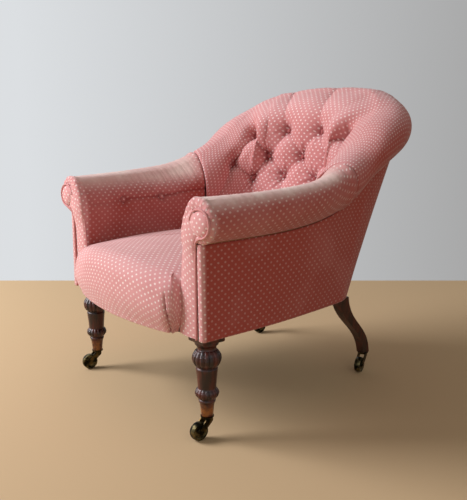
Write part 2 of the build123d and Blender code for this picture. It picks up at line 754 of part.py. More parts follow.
def rear_leg_solid(grow=0.0):
    """Sabre length of the rear leg, level squares swept back to the foot."""
    rings = []
    top = RAIL_BOTTOM
    for k in range(7):
        f = k / 6
        z = top + (FOOT_HEIGHT - top) * f
        x = REAR_TOP[0] + (REAR_FOOT[0] - REAR_TOP[0]) * f
        y = REAR_TOP[1] + (REAR_FOOT[1] - REAR_TOP[1]) * (f + SABRE * sin(2 * pi * f) / (2 * pi))
        u = (REAR_TOP_SIDE + (REAR_FOOT_SIDE - REAR_TOP_SIDE) * min(1, f * 1.1)) / 2 + grow
        corners = ((-u, -u), (u, -u), (u, u), (-u, u))
        rings.append([Vector(x + cx, y + cy, z) for cx, cy in corners])
    inside = standing(base_region(COVER + FRAME_SET - grow), COVER_BOTTOM - 2, RAIL_TOP)
    below = block(-400, 400, -400, 400, 0, COVER_BOTTOM - 2)
    return corner_loft(rings) & (inside + below)


def rear_leg():
    """Sabre leg, its square in the corner of the seat frame and its upright into the hoop, sawn as one."""
    upper = back_upright() - board(SEAM - SEAM_GAP, 2 * LAST - SEAM + SEAM_GAP, GLUE_LINE)
    return rear_leg_solid() + rear_leg_block() + upper - castor_room(*REAR_FOOT)


# ---------------------------------------------------------------- castors
def castor_room(x, y):
    """Bore in a foot for the castor's stem and its screws."""
    up = (Align.CENTER, Align.CENTER, Align.MIN)
    room = Cylinder(PIN_RADIUS + 0.4, STEM_LONG + 1, align=up)
    for k in range(3):
        bore = Cylinder(SCREW_RADIUS + 0.02, SCREW_LONG, align=up)
        room += Rot(0, 0, 120 * k + 30) * Pos(SCREW_CIRCLE, 0, 0) * bore
    return Pos(x, y, FOOT_HEIGHT) * room


def castor_plate():
    up = (Align.CENTER, Align.CENTER, Align.MIN)
    plate = Cylinder(PLATE_RADIUS, PLATE_THICK, align=up)
    plate = chamfer(plate.edges().group_by(Axis.Z)[0], 0.6)
    plate -= Cylinder(PIN_RADIUS + RUNNING, PLATE_THICK, align=up)
    for k in range(3):
        plate -= Rot(0, 0, 120 * k + 30) * Pos(SCREW_CIRCLE, 0, 0) * Cone(
            SCREW_HEAD, SCREW_RADIUS + 0.02, PLATE_THICK, align=up)
    return Pos(0, 0, FOOT_HEIGHT - PLATE_THICK) * plate


def castor_screws():
    up = (Align.CENTER, Align.CENTER, Align.MIN)
    screw = Cone(SCREW_HEAD - 0.05, SCREW_RADIUS, PLATE_THICK, align=up)
    screw += Pos(0, 0, PLATE_THICK) * Cylinder(SCREW_RADIUS, SCREW_LONG - 0.5, align=up)
    place = Pos(0, 0, FOOT_HEIGHT - PLATE_THICK)
    return [place * Rot(0, 0, 120 * k + 30) * Pos(SCREW_CIRCLE, 0, 0) * screw for k in range(3)]


def castor_horn():
    """Swivelling fork: stem, crown and two cheeks that carry the axle behind the stem."""
    up = (Align.CENTER, Align.CENTER, Align.MIN)
    crown_top = FOOT_HEIGHT - PLATE_THICK - GLUE_LINE
    inner = WHEEL_WIDE / 2 + CHEEK_GAP
    stem = Pos(0, 0, crown_top - 1) * Cylinder(PIN_RADIUS, STEM_LONG, align=up)
    crown = Pos(0, 0, crown_top - CROWN_THICK) * Cylinder(inner + CHEEK, CROWN_THICK, align=up)
    top, eye = Pos(0, crown_top - 4) * Circle(8), Pos(TRAIL, WHEEL_RADIUS) * Circle(6)
    outline = make_hull([*top.edges(), *eye.edges()])
    cheek = Part(extrude(facing_plane(-inner) * outline, CHEEK).wrapped)
    reach = TRAIL + WHEEL_RADIUS
    cheek -= block(-reach, reach, -reach, reach, crown_top, crown_top + reach)
    horn = stem + crown + cheek + mirror(cheek, about=Plane.XZ)
    bore = Pos(TRAIL, 0, WHEEL_RADIUS) * Rot(90, 0, 0) * Cylinder(AXLE_RADIUS + RUNNING / 2, 60)
    return horn - bore


def castor_axle():
    """Axle pin, riveted over outside both cheeks."""
    reach = WHEEL_WIDE / 2 + CHEEK_GAP + CHEEK
    pin = Cylinder(AXLE_RADIUS, 2 * reach)
    for side in (1, -1):
        pin += Pos(0, 0, side * (reach + 0.6)) * Cylinder(AXLE_RADIUS + 1.4, 1.2)
    return Pos(TRAIL, 0, WHEEL_RADIUS) * Rot(90, 0, 0) * pin


def castor_wheel():
    half, r = WHEEL_WIDE / 2, WHEEL_RADIUS
    bore = AXLE_RADIUS + RUNNING
    tread = ThreePointArc((r - 1.4, -half), (r, 0), (r - 1.4, half))
    dish = r * 0.72
    side = [(r - 1.4, half), (dish, half - 0.2), (dish * 0.9, half - 2.2),
            (AXLE_RADIUS + 4, half - 2.2), (AXLE_RADIUS + 3, half), (bore, half)]
    upper, lower = Polyline(*side), Polyline(*[(x, -y) for x, y in side])
    face = make_face([tread, upper, Line((bore, half), (bore, -half)), lower])
    wheel = revolve(Plane.XZ * face, Axis.Z, 360)
    return Pos(TRAIL, 0, WHEEL_RADIUS) * Rot(90, 0, 0) * wheel


# ---------------------------------------------------------------- all the pieces
def both_sides(pieces, name, part):
    pieces[name + "_left"] = part
    pieces[name + "_right"] = mirror_x(part)


def build():
    pieces = {}
    both_sides(pieces, "front_leg", front_leg())
    both_sides(pieces, "rear_leg", rear_leg())
    pieces["front_rail"] = front_rail()
    both_sides(pieces, "side_rail", side_rail())
    pieces["rear_rail"] = rear_rail()
    pieces["corner_blocks"] = corner_blocks()
    both_sides(pieces, "arm_post", arm_post())
    both_sides(pieces, "arm_rail", arm_rail())
    pieces["back_hoop"] = back_hoop()
    hoop_room = back_hoop(GLUE_LINE)
    pieces["back_stays"] = [back_stay(t) - hoop_room for t in STAYS]
    both_sides(pieces, "tack_rail", tack_rail() - arm_post(GLUE_LINE) - back_upright(GLUE_LINE))

    both_sides(pieces, "inside_arm", inside_arm())
    pieces["inside_back"] = inside_back()
    both_sides(pieces, "outside_arm", outside_cover(0, REAR_SEAM - COVER_GAP))
    pieces["outside_back"] = outside_cover(REAR_SEAM + COVER_GAP, 2 * LAST - REAR_SEAM - COVER_GAP)
    both_sides(pieces, "arm_facing", arm_facing())
    both_sides(pieces, "scroll_boss", scroll_boss())
    piping = facing_piping()
    pieces["facing_piping_left"] = piping
    pieces["facing_piping_right"] = [mirror_x(p) for p in piping]
    pieces["back_buttons"] = [button(*place) for place in back_button_places()]
    pieces["arm_buttons"] = [button(*place) for side in (1, -1) for place in arm_button_places(side)]

    pieces["webbing_front_to_back"] = webbing(True)
    pieces["webbing_side_to_side"] = webbing(False)
    pieces["seat_springs"] = springs()
    pieces["spring_canvas"] = hessian()
    pieces["seat_cushion"] = seat_cushion()
    pieces["bottom_cloth"] = bottom_cloth()

    screws = []
    feet = {"front": (FRONT_LEG_X, LEG_LINE_Y), "rear": REAR_FOOT}
    for corner, aim in CASTOR_AIM.items():
        end, side = corner.split("_")
        x, y = feet[end]
        foot = Pos(x if side == "left" else -x, y, 0)
        pieces[f"castor_plate_{corner}"] = foot * castor_plate()
        screws += [foot * screw for screw in castor_screws()]
        for name, part in (("horn", castor_horn()), ("axle", castor_axle()), ("wheel", castor_wheel())):
            pieces[f"castor_{name}_{corner}"] = foot * Rot(0, 0, aim) * part
    pieces["castor_screws"] = screws
    return pieces


def solids_of(thing):
    items = thing if isinstance(thing, list) else [thing]
    return [solid for item in items for solid in item.solids()]


os.makedirs("parts", exist_ok=True)
for name, thing in build().items():
    solids = solids_of(thing)
    export_step(solids[0] if len(solids) == 1 else Compound(children=solids), f"parts/{name}.step")
    print(name, len(solids), round(sum(s.volume for s in solids)))
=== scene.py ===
# %% [markdown]
# # Tub chair
# A low upholstered armchair: dotted cotton over stuffed pads, a buttoned back
# that runs round into two rolled arms, carved mahogany legs and old castors.
# The joinery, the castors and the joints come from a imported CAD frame, and
# this script lays what is seen over it, each piece as a mesh of its own.
# Sizes are in millimetres until a mesh is made, and colours are hex sRGB.

# %% Setup
import math

import bpy
import numpy as np
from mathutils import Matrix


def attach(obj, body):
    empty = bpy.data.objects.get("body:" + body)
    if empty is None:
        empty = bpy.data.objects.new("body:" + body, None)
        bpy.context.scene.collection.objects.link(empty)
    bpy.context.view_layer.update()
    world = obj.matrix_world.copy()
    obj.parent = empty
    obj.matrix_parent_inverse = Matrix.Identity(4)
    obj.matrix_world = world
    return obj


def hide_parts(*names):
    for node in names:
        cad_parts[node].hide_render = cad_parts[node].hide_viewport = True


MM = 0.001
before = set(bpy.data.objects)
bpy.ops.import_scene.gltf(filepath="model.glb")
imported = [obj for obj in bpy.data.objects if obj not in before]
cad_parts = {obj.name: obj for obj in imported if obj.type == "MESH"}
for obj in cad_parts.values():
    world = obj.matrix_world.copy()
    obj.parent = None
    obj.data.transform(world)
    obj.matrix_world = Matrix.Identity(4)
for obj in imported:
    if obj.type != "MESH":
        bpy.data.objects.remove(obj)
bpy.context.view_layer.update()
scene = bpy.context.scene
scene.view_settings.view_transform = "Standard"

# %% [markdown]
# ## The shell's form
# The back and the arms of the real chair are one padded shell. Its cloth runs
# up from under the seat, over a fat roll and in under it. The shell could be
# sculpted, or drawn with a subdivision surface. Here a table of stations gives
# cuts through it, from the front of the sitter's left arm to the middle of the
# back, and the skin runs smoothly through them. That keeps the cloth on the
# frame, and one number moves one thing. The other half mirrors this one.

# %% Stations
# outside at the base x, y | inner face at seat level x, y | roll's middle
# x, y, z | roll's half sizes | thickness at the foot | shoulder | tack line
STATIONS = [
    (297, -320, 222, -320, 286.5, -320, 474, 44, 46, 36, 60, 7),
    (291, -131, 221, -131, 299, -131, 479, 51, 41, 36, 66, 3),
    (277, 0, 217, 0, 293, 0, 494, 54, 40, 36, 67, 8),
    (265, 84, 209, 72, 277, 100, 537, 58, 52, 38, 77, 13),
    (255, 122, 196, 104, 275, 172, 594, 64, 60, 44, 101, 15),
    (228, 160, 168, 128, 256, 244, 634, 67, 63, 52, 131, 20),
    (165, 189, 122, 141, 210, 292, 661, 62, 63, 58, 134, 23),
    (85, 202, 62, 145, 146, 322, 679, 60, 61, 60, 120, 20),
    (0, 207, 0, 146, 0, 332, 688, 60, 60, 60, 114, 19),
]
MIDDLE = len(STATIONS) - 1


def full_table():
    """Both halves, with one more station beyond each end for the slopes."""
    rows = np.array(STATIONS, float)
    flipped = rows[-2::-1].copy()
    flipped[:, [0, 2, 4]] *= -1
    rows = np.concatenate([rows, flipped])
    return np.concatenate([[2 * rows[0] - rows[1]], rows, [2 * rows[-1] - rows[-2]]])


TABLE = full_table()


def along(t):
    """Station values at an array of positions, smooth through the stations."""
    t = np.atleast_1d(np.asarray(t, float))
    i = np.clip(np.floor(t).astype(int), 0, 2 * MIDDLE - 1)
    f = (t - i)[:, None]
    a, b, c, d = (TABLE[i + k] for k in range(4))
    return ((2 * f**3 - 3 * f**2 + 1) * b + (f**3 - 2 * f**2 + f) * (c - a) / 2
            + (3 * f**2 - 2 * f**3) * c + (f**3 - f**2) * (d - b) / 2)


print("stations:", len(TABLE) - 2, "and the roll's middle rises to", along(MIDDLE)[0, 6])

# %% Cuts through the shell
SEAT_LEVEL, COVER_BOTTOM = 345, 230
FLARE = math.radians(50)  # the roll's oval leans outward by this
NUDGE = 0.05  # stations before and after, for the way the shell runs


def unit(v):
    return v / np.linalg.norm(v, axis=-1, keepdims=True)


def ahead_of(t):
    """The way the station values run."""
    return along(np.asarray(t) + NUDGE) - along(np.asarray(t) - NUDGE)


class Cuts:
    """The cuts through the shell at many stations at once."""

    def __init__(self, t):
        v, run = along(t), ahead_of(t)
        self.out = unit(np.stack([run[:, 5], -run[:, 4], 0 * run[:, 4]], 1))
        self.base = np.stack([v[:, 0], v[:, 1], 0 * v[:, 0] + COVER_BOTTOM], 1)
        self.middle = v[:, 4:7]
        self.wide, self.high, self.thick, self.shoulder, self.tack = v[:, 7:12].T
        foot = np.stack([v[:, 2], v[:, 3], 0 * v[:, 0] + SEAT_LEVEL], 1)
        foot = foot + self.out * (self.thick / 2)[:, None]
        stem = self.middle - foot
        reach = (stem * self.out).sum(1)
        rise = stem - self.out * reach[:, None]
        self.up = unit(rise)
        self.foot = np.stack([-reach, -np.linalg.norm(rise, axis=1)], 1)

    def roll(self, angle):
        """Local point on the roll in a direction, radians above outward."""
        lean = angle - FLARE
        r = self.wide * self.high / np.hypot(self.high * np.cos(lean), self.wide * np.sin(lean))
        return np.stack([r * np.cos(angle), r * np.sin(angle)], -1)

    def under(self, u):
        """Height of the roll's underside at a distance out."""
        low, high = np.full_like(u, math.radians(-150)), np.full_like(u, math.radians(-10))
        for _ in range(30):
            angle = (low + high) / 2
            inside = self.roll(angle)[:, 0] < u
            low, high = np.where(inside, angle, low), np.where(inside, high, angle)
        return self.roll(angle)[:, 1]

    def place(self, uw):
        """World points for local points, one row a station."""
        return (self.middle[:, None] + self.out[:, None] * uw[..., :1]
                + self.up[:, None] * uw[..., 1:2])


print("the back stands", (-Cuts([MIDDLE]).foot[0, 1]).round(), "mm over the seat")

# %% A curve through knots
def spline_weights(knots, samples):
    """Weights that run a natural cubic through evenly numbered knots."""
    system, bend = np.eye(knots), np.zeros((knots, knots))
    for k in range(1, knots - 1):
        system[k, k - 1:k + 2] = 1, 4, 1
        bend[k, k - 1:k + 2] = 6, -12, 6
    curve = np.linalg.solve(system, bend)
    weights = np.zeros((len(samples), knots))
    for row, s in enumerate(samples):
        i = min(int(s), knots - 2)
        f = s - i
        weights[row, i] += 1 - f
        weights[row, i + 1] += f
        weights[row] += curve[i] * ((1 - f)**3 - (1 - f)) / 6 + curve[i + 1] * (f**3 - f) / 6
    return weights


def even_samples(knots, count):
    """Knot numbers that lie evenly along a curve through the knots."""
    dense = np.linspace(0, len(knots) - 1, 1200)
    points = spline_weights(len(knots), dense) @ knots
    gone = np.concatenate([[0], np.cumsum(np.linalg.norm(np.diff(points, axis=0), axis=1))])
    return np.interp(np.linspace(0, gone[-1], count), gone, dense)


def smooth_line(points, count):
    """Even points along a smooth curve."""
    points = np.array(points, float)
    return spline_weights(len(points), even_samples(points, count)) @ points


print("a smooth line:", smooth_line([(0, 0), (1, 1), (2, 0)], 5).round(2).tolist())

# %% The pad's skin
ROLL_KNOTS, ROLL_START = 9, math.radians(135)
SKIRT = 40  # the skin starts this far under the seat's level
SHOULDER_DROP = 57
NECK = 22  # and ends this far inside the tack line
SEAM = 2.55  # the station where the arm's pad meets the back's


def skin_knots(cuts):
    """The skin's knots, from under the seat up, over the roll and in under it."""
    fu, fw = cuts.foot[:, 0], cuts.foot[:, 1]
    half = cuts.thick / 2
    neck_u = cuts.tack - NECK
    neck = np.arctan2(cuts.under(neck_u), neck_u)
    belly_u = fu - half + 0.68 * (half - cuts.shoulder - fu)
    belly_w = fw + 0.58 * (-SHOULDER_DROP - fw)
    knots = [(fu - half, fw - SKIRT), (fu - half, fw), (belly_u, belly_w),
             (-0.97 * cuts.shoulder, 0 * fu - 0.35 * SHOULDER_DROP)]
    knots = [np.stack(knot, 1) for knot in knots]
    for k in range(ROLL_KNOTS):
        knots.append(cuts.roll(ROLL_START + (neck - ROLL_START) * k / (ROLL_KNOTS - 1)))
    return np.stack(knots, 1)


def skin(t, count):
    """Grid of points over the pad's skin: one row a station, one column a height."""
    cuts = Cuts(t)
    knots = skin_knots(cuts)
    middle = skin_knots(Cuts([t[len(t) // 2]]))[0]
    weights = spline_weights(knots.shape[1], even_samples(middle, count))
    return cuts.place(np.einsum("sk,tkc->tsc", weights, knots))


print("back skin's corners:", skin([SEAM, 2 * MIDDLE - SEAM], 2).round().tolist())

# %% [markdown]
# ## Meshes from grids
# Every soft piece here is a grid of points. That could be a sculpted mesh, but
# on a grid the length of the cloth is known at each point, so the woven spots,
# the folds and the pulls of the buttons can be laid out in cloth millimetres.

# %% Grid helpers
def normals(grid):
    return unit(np.cross(np.gradient(grid, axis=1), np.gradient(grid, axis=0)))


def lengths(grid, axis):
    """Running length along one axis of a grid."""
    step = np.linalg.norm(np.diff(grid, axis=axis), axis=-1)
    zero = np.zeros_like(np.take(step, [0], axis))
    return np.concatenate([zero, np.cumsum(step, axis)], axis)


def smooth(x, low, high):
    """Nought below low, one above high and soft between them."""
    x = np.clip((x - low) / (high - low), 0, 1)
    return x * x * (3 - 2 * x)


def ripple(x, seed):
    """Smooth repeatable wander between about -1 and 1."""
    rng = np.random.default_rng(seed)
    total = 0
    for k in range(1, 6):
        total = total + np.sin(x * k * 0.9 + rng.uniform(0, 6.28)) * rng.uniform(0.4, 1) / k**0.6
    return total / 2


print("half way up a soft step:", smooth(0.5, 0, 1), "and a ripple:", round(ripple(1.0, 3), 2))

# %% Points to a mesh
DOT_PITCH, ROW_PITCH = 17.0, 16.6  # between the woven spots, along and up the cloth


def new_object(name, verts, faces, cloth=None, marks=None, material=None):
    """A smooth mesh. cloth is one (u, v) in mm a vertex, and marks are values a vertex."""
    mesh = bpy.data.meshes.new(name)
    mesh.from_pydata((np.asarray(verts) * MM).tolist(), [], faces)
    mesh.shade_smooth()
    loops = np.empty(len(mesh.loops), int)
    mesh.loops.foreach_get("vertex_index", loops)
    if cloth is not None:
        layer = mesh.uv_layers.new(name="cloth")
        repeat = np.asarray(cloth) / (DOT_PITCH, ROW_PITCH)
        layer.data.foreach_set("uv", repeat[loops].ravel())
    for mark, values in (marks or {}).items():
        layer = mesh.attributes.new(mark, "FLOAT", "POINT")
        values = np.asarray(values, float).ravel() + np.zeros(len(mesh.vertices))
        layer.data.foreach_set("value", values)
    obj = bpy.data.objects.new(name, mesh)
    scene.collection.objects.link(obj)
    if material:
        mesh.materials.append(material)
    return obj


print("the cloth's map counts spots:", DOT_PITCH, "by", ROW_PITCH, "mm each")


# %% Grids to meshes
def grid_faces(rows, columns, wrap=False, start=0, flip=False):
    """Quads of a grid, whose columns can close into a ring."""
    faces = []
    for i in range(rows - 1):
        for j in range(columns if wrap else columns - 1):
            k = (j + 1) % columns
            quad = (start + i * columns + j, start + (i + 1) * columns + j,
                    start + (i + 1) * columns + k, start + i * columns + k)
            faces.append(quad[::-1] if flip else quad)
    return faces


def sheet_object(name, grid, cloth, marks, material, flip=False):
    """The mesh of one grid."""
    rows, columns = grid.shape[:2]
    flat = {k: np.broadcast_to(v, (rows, columns)).ravel() for k, v in marks.items()}
    return new_object(name, grid.reshape(-1, 3), grid_faces(rows, columns, flip=flip),
                      cloth.reshape(-1, 2), flat, material)


print("a grid of 3 by 4 has", len(grid_faces(3, 4)), "faces")

# %% [markdown]
# ## Nodes and colours
# A material is a small tree of nodes. They could be joined by hand in the
# shader editor. Written down, they can be read, compared and scaled: here one
# function adds any node, with its settings and its links, and two more turn a
# real size into the scale that a noise or a wave wants.

# %% Node helpers
METRE = 1000.0  # object coordinates count metres


def linear(code):
    """Linear RGBA for a hex sRGB colour."""
    parts = [int(code[k:k + 2], 16) / 255 for k in (1, 3, 5)]
    return [c / 12.92 if c <= 0.04045 else ((c + 0.055) / 1.055)**2.4 for c in parts] + [1.0]


def add(tree, kind, inputs=(), out=0, **settings):
    """One node. Inputs are values, hex colours or links, by place or name. Gives one output."""
    node = tree.nodes.new("ShaderNode" + kind)
    for key, value in settings.items():
        setattr(node, key, value)
    for key, value in inputs.items() if isinstance(inputs, dict) else enumerate(inputs):
        if isinstance(value, bpy.types.NodeSocket):
            tree.links.new(value, node.inputs[key])
        elif value is not None:
            node.inputs[key].default_value = linear(value) if isinstance(value, str) else value
    return node.outputs[out]


def new_material(name, **plain):
    """A material's tree and its shader, with the shader's plain values set."""
    material = bpy.data.materials.new(name)
    material.use_nodes = True
    shader = material.node_tree.nodes["Principled BSDF"]
    for key, value in plain.items():
        shader.inputs[key.replace("_", " ")].default_value = value
    return material, material.node_tree, shader


def patches(size, unit=METRE):
    """Scale of a noise with patches about size mm wide. unit is the map's step in mm."""
    return unit / size


def bands(step, unit=METRE):
    """Scale of a wave whose bands repeat every step mm."""
    return unit * math.pi / 10 / step


print("patches of 16 mm need a scale of", patches(16), "and bands of 1 mm", round(bands(1), 1))

# %% [markdown]
# ## Dotted cotton
# The real cover is an old furnishing cotton, woven in two rose yarns with a
# pale spot brought up by the weft, and rubbed down to bare tan thread on the
# arms. Light and shade are also painted into its colour: it is painted paler,
# with clearer spots, where the lamps' light falls, and a deeper red in the
# folds and pits, where shade falls. An image of such cloth, wrapped round the
# chair, could show that. Drawn from nodes, the spots follow each piece's own
# cloth, and three values that the meshes carry say where it is worn, where
# shade is painted and where light is painted.

# %% Woven spots
def woven_spots(tree, cloth):
    """One on a spot, nought between. Every second row is set over by half a pitch."""
    # hand-laid cloth wanders by a sixth of a spot over some 13 mm
    size = patches(13.08, DOT_PITCH)
    wobble = add(tree, "TexNoise", {"Vector": cloth, "Scale": size, "Detail": 2.0}, out="Color")
    wobble = add(tree, "VectorMath", (wobble, (0.5, 0.5, 0.5)), operation="SUBTRACT")
    wobble = add(tree, "VectorMath", {0: wobble, "Scale": 0.16}, operation="SCALE")
    moved = add(tree, "VectorMath", (cloth, wobble), operation="ADD")
    # a spot is an upright oval some 5 mm across, in mm from its cell's middle
    oval = (DOT_PITCH * 0.92, ROW_PITCH * 1.1, 0)
    rows = []
    for shift in (0.0, 0.5):
        cell = add(tree, "VectorMath", (moved, (shift, shift, 0)), operation="ADD")
        cell = add(tree, "VectorMath", (cell,), operation="FRACTION")
        cell = add(tree, "VectorMath", (cell, (0.5, 0.5, 0)), operation="SUBTRACT")
        cell = add(tree, "VectorMath", (cell, oval), operation="MULTIPLY")
        away = add(tree, "VectorMath", (cell,), out="Value", operation="LENGTH")
        rows.append(add(tree, "MapRange", (away, 3.1, 1.5, 0.0, 1.0),
                        interpolation_type="SMOOTHSTEP"))
    return add(tree, "Math", rows, operation="MAXIMUM")


print("one spot in", round(DOT_PITCH * ROW_PITCH / 2), "square mm")

# %% Threads
# Real threads lie 0.3 to 0.4 mm apart, too fine to show, so they are drawn
# this far apart, in mm, with a twill line across them
WARP_STEP, TWILL_STEP = 0.8727, 1.0472


def thread_relief(tree, cloth, shown):
    """A bump of threads, raised spots and small crumples, which are 8 mm wide."""
    thread = add(tree, "VectorMath", (cloth, (DOT_PITCH, ROW_PITCH, 1)), operation="MULTIPLY")
    size = bands(WARP_STEP, 1)
    warp = add(tree, "TexWave", {"Vector": thread, "Scale": size, "Distortion": 0.6},
               out="Fac", bands_direction="X")
    size = bands(TWILL_STEP, 1)
    weft = add(tree, "TexWave", {"Vector": thread, "Scale": size, "Distortion": 0.8},
               out="Fac", bands_direction="DIAGONAL")
    height = add(tree, "Math", (warp, weft), operation="MULTIPLY")
    height = add(tree, "Math", (height, 0.35), operation="MULTIPLY")
    size = patches(7.73, DOT_PITCH)
    crumpled = add(tree, "TexNoise", {"Vector": cloth, "Scale": size, "Detail": 4.0})
    for part, share in ((shown, 0.5), (crumpled, 0.9)):
        part = add(tree, "Math", (part, share), operation="MULTIPLY")
        height = add(tree, "Math", (height, part), operation="ADD")
    return add(tree, "Bump", {"Height": height, "Strength": 0.35, "Distance": 0.0012})


print("threads drawn", round(WARP_STEP / 0.35, 1), "times as coarse as they are")


# %% Cotton
def dotted_cotton(name, ground, deep, pale, dot, tan, spotted=1.0):
    # Woven and never glazed: rough all over, with the soft light rim of short
    # fibres (sheen). Cellulose's IOR of 1.53 is near the default of 1.5.
    material, tree, shader = new_material(
        name, Roughness=0.88, Specular_IOR_Level=0.25, Sheen_Weight=0.25, Sheen_Roughness=0.5)
    cloth = add(tree, "UVMap", uv_map="cloth")
    place = add(tree, "TexCoord", out="Object")
    worn, fold, faded = (add(tree, "Attribute", out="Fac", attribute_name=mark)
                         for mark in ("worn", "fold", "faded"))
    # spots are lost by patches of 49 mm, bleaching drifts over patches of
    # 143 mm, and grime lies in patches of 62.5 mm
    uneven = []
    for vector, size, detail, *span in ((cloth, patches(48.6, DOT_PITCH), 4.0, 0.2, 0.8, 0.6, 1.0),
                                        (place, patches(143), 5.0, 0.3, 0.75, -0.14, 0.14),
                                        (place, patches(62.5), 6.0, 0.3, 0.72, 0.55, 1.0)):
        noise = add(tree, "TexNoise", {"Vector": vector, "Scale": size, "Detail": detail})
        uneven.append(add(tree, "MapRange", (noise, *span), interpolation_type="SMOOTHSTEP"))
    kept, drift, grime = uneven
    shown = woven_spots(tree, cloth)
    keeps = [kept]
    # Worn thread loses its spots, and where little light is painted on the cloth its spots are
    # painted faint, as they look in shade
    for mark, low, high, least, most in ((worn, 0.1, 0.85, 1.0, 0.12),
                                         (faded, 0.0, 0.8, 0.26 * spotted, spotted)):
        keeps.append(add(tree, "MapRange", (mark, low, high, least, most),
                         interpolation_type="SMOOTHSTEP"))
    for keep in keeps:
        shown = add(tree, "Math", (shown, keep), operation="MULTIPLY")
    # Painted light: the pale rose is mixed in where the mesh's value for painted light is high,
    # with a random drift of tone on top
    painted_light_and_drift = add(tree, "Math", (faded, drift), operation="ADD")
    # Painted shade: the deep red is mixed in by the fold value, in folds and button pits
    shade_share = add(tree, "Math", (fold, 0.85), operation="MULTIPLY")
    rubbed = add(tree, "Math", (worn, grime), operation="MULTIPLY")
    colour = ground
    for share, other in ((painted_light_and_drift, pale), (shade_share, deep), (rubbed, tan), (shown, dot)):
        colour = add(tree, "Mix", {0: share, 6: colour, 7: other}, out=2, data_type="RGBA")
    tree.links.new(colour, shader.inputs["Base Color"])
    tree.links.new(thread_relief(tree, cloth, shown), shader.inputs["Normal"])
    return material


# The colours: the ground, a deep red that is painted shade in folds and pits, a pale rose that is
# painted light, the spot, and bare tan thread
ROSES = ("#ab4b42", "#7c1a1e", "#dd9f9f", "#faeeea", "#ecd2c8")  # ground to bare tan thread
COTTON = dotted_cotton("dotted_rose_cotton", *ROSES)
# piping cut on the bias from the same cloth: its spots are lost in the seam
CORD_COTTON = dotted_cotton("rose_cotton_cord", *ROSES, spotted=0.05)
print("cotton:", len(COTTON.node_tree.nodes), "nodes")

# %% [markdown]
# ## Polished mahogany and beech
# The legs are turned mahogany, stained dark and rubbed with shellac. Wood
# could be a picture of planks; a noise that is stretched along the trunk gives
# its grain at any size and turns with the leg. The stain is gone from the
# feet, where shoes and brooms have knocked it off.

# %% Wood
def grained(name, dark, light, worn_to, roughness, coat):
    material, tree, shader = new_material(name, Coat_Weight=coat, Coat_Roughness=0.2)
    place = add(tree, "TexCoord", out="Object")
    worn = add(tree, "Attribute", out="Fac", attribute_name="worn")
    # grain 12 mm across and 93 mm along, pores 2.5 mm across and 18 mm along:
    # real pores are 0.2 mm wide, too fine to show
    along_grain = add(tree, "VectorMath", (place, (9, 9, 1.2)), operation="MULTIPLY")
    grain = add(tree, "TexNoise", {"Vector": along_grain, "Scale": patches(111.1), "Detail": 6.0})
    pores = add(tree, "TexNoise", {"Vector": along_grain, "Scale": patches(22.22), "Detail": 4.0})
    # knocks are some 17 mm wide
    scuffs = add(tree, "TexNoise", {"Vector": place, "Scale": patches(16.67), "Detail": 5.0})
    figure = add(tree, "MapRange", (grain, 0.35, 0.68, 0.0, 1.0), interpolation_type="SMOOTHSTEP")
    scuffs = add(tree, "MapRange", (scuffs, 0.35, 0.6, 0.0, 1.0), interpolation_type="SMOOTHSTEP")
    bare = add(tree, "Math", (worn, scuffs), operation="MULTIPLY")
    colour = dark
    for share, other in ((figure, light), (bare, worn_to)):
        colour = add(tree, "Mix", {0: share, 6: colour, 7: other}, out=2, data_type="RGBA")
    tree.links.new(colour, shader.inputs["Base Color"])
    dull = add(tree, "MapRange", (pores, 0.2, 0.8, roughness - 0.08, roughness + 0.14))
    tree.links.new(dull, shader.inputs["Roughness"])
    bump = add(tree, "Bump", {"Height": pores, "Strength": 0.12, "Distance": 0.0006})
    tree.links.new(bump, shader.inputs["Normal"])
    return material


# Shellac (IOR 1.52, near the default) over turned dark wood gives long soft
# highlights. Beech is left as it was sawn, pale and dull.
MAHOGANY = grained("dark_mahogany", "#200c07", "#571f12", "#9a5c22", 0.38, 0.15)
BEECH = grained("beech", "#a97c4f", "#c79b69", "#c79b69", 0.6, 0.0)
print("woods:", MAHOGANY.name, BEECH.name)

# %% [markdown]
# ## Old brass and steel
# The castors are cast brass, browned by a century of handling and bright only
# in patches. One plain metal would look new, so a noise chooses between the
# tarnish and the metal under it. Both colours are also kept far darker than
# tarnish alone would make them: painted shade, for the dark room that the
# brass reflects. A metal keeps the default IOR, and its colour is what it
# reflects.

# %% Metal
def old_metal(name, dark, bright, roughness):
    material, tree, shader = new_material(name, Metallic=1.0)
    place = add(tree, "TexCoord", out="Object")
    # tarnish in patches of 14 mm, and casting grit: real grit of 0.3 mm is
    # drawn at 2.5 mm
    tarnish = add(tree, "TexNoise", {"Vector": place, "Scale": patches(14.29), "Detail": 5.0})
    grit = add(tree, "TexNoise", {"Vector": place, "Scale": patches(2.5), "Detail": 3.0})
    share = add(tree, "MapRange", (tarnish, 0.42, 0.66, 0.0, 1.0),
                interpolation_type="SMOOTHSTEP")
    colour = add(tree, "Mix", {0: share, 6: dark, 7: bright}, out=2, data_type="RGBA")
    tree.links.new(colour, shader.inputs["Base Color"])
    dull = add(tree, "MapRange", (grit, 0.25, 0.75, roughness - 0.12, roughness + 0.16))
    tree.links.new(dull, shader.inputs["Roughness"])
    bump = add(tree, "Bump", {"Height": grit, "Strength": 0.1, "Distance": 0.0004})
    tree.links.new(bump, shader.inputs["Normal"])
    return material


# A cast fork that is never touched, a wheel that the floor rubs bright, and
# drawn steel wire, grey and half dull. Both brasses are darkened with painted
# shade past their tarnish.
OLD_SHADED_BRASS = old_metal("old_shaded_brass", "#1c1a12", "#5b4a2c", 0.42)
WORN_SHADED_BRASS = old_metal("worn_shaded_brass", "#1b1a13", "#766b49", 0.4)
DARK_STEEL = old_metal("dark_steel", "#2a2622", "#57504a", 0.45)
print("metals:", OLD_SHADED_BRASS.name, WORN_SHADED_BRASS.name, DARK_STEEL.name)

# %% [markdown]
# ## Webbing, hessian and lining
# Under the seat are jute webbing, hessian over the springs and a thin black
# lining. All three are plain weaves with dust in them, so two crossed waves
# and one noise make them all, with other colours and another thread.

